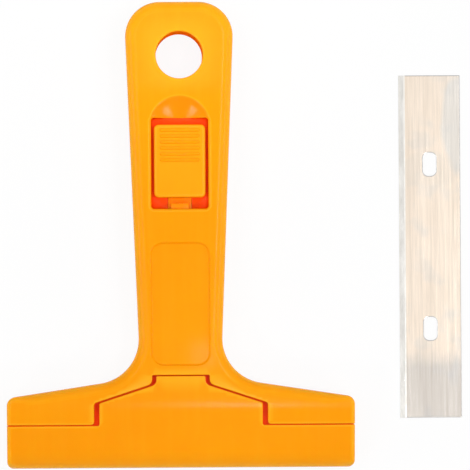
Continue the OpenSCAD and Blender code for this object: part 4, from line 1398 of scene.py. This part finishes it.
def screw_sizes(head_r, head_h, thread_r, length, rows):
    """Inputs of the screw tree: sizes, then for each row its Y, half spread, seat and turn."""
    sizes = {
        "Head Radius": head_r * MM,
        "Head Height": head_h * MM,
        "Thread Radius": thread_r * MM,
        "Length": length * MM,
        "Per Row": 2 if rows["Upper"][1] else 1,
    }
    for row, (y, half_spread, seat_z, tip) in rows.items():
        sizes[row + " Y"] = y * MM
        sizes[row + " Half Spread"] = half_spread * MM
        sizes[row + " Seat Z"] = seat_z * MM
        sizes[row + " Tip"] = tip
    return sizes


(UPPER_X, UPPER_Y), (LOWER_X, LOWER_Y) = CASE_SCREWS[0], CASE_SCREWS[2]
CASE_ROWS = {"Upper": (UPPER_Y, UPPER_X, CASE_SEAT_Z, 0.0), "Lower": (LOWER_Y, LOWER_X, CASE_SEAT_Z, 0.0)}
DRIVE_ROWS = {"Upper": (BUTTON_SCREW_Y, 0.0, BAR_Z, 0.0), "Lower": (JOINT_SCREW_Y, 0.0, BAR_TOP_Z, math.pi)}
CASE_SIZES = screw_sizes(CASE_HEAD_R, CASE_HEAD_H, CASE_THREAD_R, CASE_TIP_Z - CASE_SEAT_Z, CASE_ROWS)
DRIVE_SIZES = screw_sizes(DRIVE_HEAD_R, DRIVE_HEAD_H, DRIVE_THREAD_R, DRIVE_L, DRIVE_ROWS)

# The pieces
handle_front()
handle_back()
head_cover()
slide_button()
thumb_ribs()
drive_bar()
blade_carrier()
razor_blade("fitted_blade", "razor_blade", "slider", FITTED_BLADE, False, FITTED_STEEL, FITTED_GRIND)
razor_blade("loose_blade_strip", "spare_blade", "loose_blade", LOOSE_BLADE, True, LOOSE_STEEL, LOOSE_GRIND)
screws(
    "case_screw_set",
    "handle",
    ["case_screw_upper_right", "case_screw_upper_left", "case_screw_lower_right", "case_screw_lower_left"],
    CASE_SIZES,
)
screws("drive_screw_pair", "slider", ["button_screw", "joint_screw"], DRIVE_SIZES)
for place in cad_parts["detent_spring"].material_slots:
    place.material = SPRING_STEEL


# Floor, light and camera

FLOOR_HALF, FLOOR_Z, PAPER, WHITE, WHITE_SHARE = 3000.0, -0.2, (0.9, 0.9, 0.9, 1), (1, 1, 1, 1), 0.92
TENT_NEAR, TENT_FAR = 0.0, 0.42
# Place, aim, width and length of each lamp in metres, and its power in watts
LAMPS = {
    "end_lamp": ((0.0, 0.075, 0.065), (0, 0.075, 0), 0.06, 0.06, 0.0165),
    "neck_lamp": ((0.0075, -0.0346, 0.06), (0.0075, -0.0346, 0), 0.007, 0.007, 0.001),
    "head_lamp": ((0.034, -0.13, 0.6), (0.012, -0.05, 0), 0.024, 0.068, 0.165),
}
# Distance to the side, Y, height, width, length, and power on the left and on the right
SIDE_LAMPS = {
    "edge_strip": (0.34, 0.0, 0.94, 0.5, 0.15, (1.2, 2.4)),
    "side_box": (0.8, 0.0, 0.35, 0.5, 0.3, (1.7, 1.7)),
    "front_box": (0.483, -0.5, 0.718, 0.26, 0.07, (1.7, 1.7)),
}
# Camera: aim, place and turn in degrees, then sensor, focal length and reach in metres
CAMERA_AIM, CAMERA_AT, CAMERA_TURN = (16.05, -0.06, 7.0), (-18.8, -36.2, 1400.0), -0.335
SENSOR_W, LENS, CLIP_START, CLIP_END = 36.0, 367.4, 0.01, 20


def seen_directly(tree):
    """1 for rays from the camera, off a glossy surface or through a clear one."""
    ray = add(tree, "ShaderNodeLightPath").outputs
    mirrored = maths(tree, "MAXIMUM", ray["Is Glossy Ray"], ray["Is Transmission Ray"])
    return maths(tree, "MAXIMUM", ray["Is Camera Ray"], mirrored)


def show_both(tree, out, share, first, second):
    """Ends a tree in two surfaces mixed by a share."""
    mix = add(tree, "ShaderNodeMixShader", [(0, share), (1, first.outputs[0]), (2, second.outputs[0])])
    add(tree, out, [("Surface", mix.outputs[0])])


def pale_floor():
    """White table: white to the camera and to mirrors, with a soft trace of the object's shadow."""
    far = FLOOR_HALF
    corners = [(x, y, FLOOR_Z) for x, y in ((-far, -far), (far, -far), (far, far), (-far, far))]
    floor = piece_from("table_top", corners, [(0, 1, 2, 3)])
    material = bpy.data.materials.new("white_table")
    tree = emptied(material)
    share = times(tree, seen_directly(tree), WHITE_SHARE)
    paper = add(tree, "ShaderNodeBsdfDiffuse", [("Color", PAPER)])
    show_both(tree, "ShaderNodeOutputMaterial", share, paper, add(tree, "ShaderNodeEmission"))
    floor.data.materials.append(material)


def soft_box(name, place, aim, width, length, power):
    """Soft light with its width level and its length tilted up as it aims."""
    lamp = bpy.data.lights.new(name, "AREA")
    lamp.shape, lamp.size, lamp.size_y, lamp.energy = "RECTANGLE", width, length, power
    holder = bpy.data.objects.new(name, lamp)
    holder.location = place
    holder.rotation_euler = (Vector(aim) - Vector(place)).to_track_quat("-Z", "Y").to_euler()
    holder.visible_camera = False
    bpy.context.scene.collection.objects.link(holder)


def studio():
    """Light tent, white to the camera and to mirrors, with soft boxes at the sides, in front and above."""
    world = bpy.data.worlds.new("light_tent")
    bpy.context.scene.world = world
    tree = emptied(world)
    place = add(tree, "ShaderNodeTexCoord").outputs["Generated"]
    split = add(tree, "ShaderNodeSeparateXYZ", [(0, place)])
    strength = ranged(tree, split.outputs["Y"], -1, 1, TENT_NEAR, TENT_FAR)
    tent = add(tree, "ShaderNodeBackground", [("Color", WHITE), ("Strength", strength)])
    white = add(tree, "ShaderNodeBackground", [("Color", WHITE)])
    show_both(tree, "ShaderNodeOutputWorld", seen_directly(tree), tent, white)
    for name, lamp in LAMPS.items():
        soft_box(name, *lamp)
    for side in (-1, 1):
        for name, (away, y, z, width, length, powers) in SIDE_LAMPS.items():
            soft_box(name, (side * away, y, z), (0, 0, 0), width, length, powers[side > 0])


def picture_camera():
    """Camera above the table, a little to the left, with the photograph's slight turn."""
    target, place = Vector(CAMERA_AIM) * MM, Vector(CAMERA_AT) * MM
    lens = bpy.data.cameras.new("camera")
    lens.sensor_width, lens.lens = SENSOR_W, LENS
    lens.clip_start, lens.clip_end = CLIP_START, CLIP_END
    camera = bpy.data.objects.new("camera", lens)
    back = (place - target).normalized()
    turn = math.radians(CAMERA_TURN)
    up = Vector((-math.sin(turn), math.cos(turn), 0))
    right = up.cross(back).normalized()
    up = back.cross(right)
    camera.matrix_world = Matrix.LocRotScale(place, Matrix((right, up, back)).transposed(), None)
    bpy.context.scene.collection.objects.link(camera)
    bpy.context.scene.camera = camera


pale_floor()
studio()
picture_camera()
bpy.context.scene.view_settings.view_transform = "Standard"
bpy.context.view_layer.update()
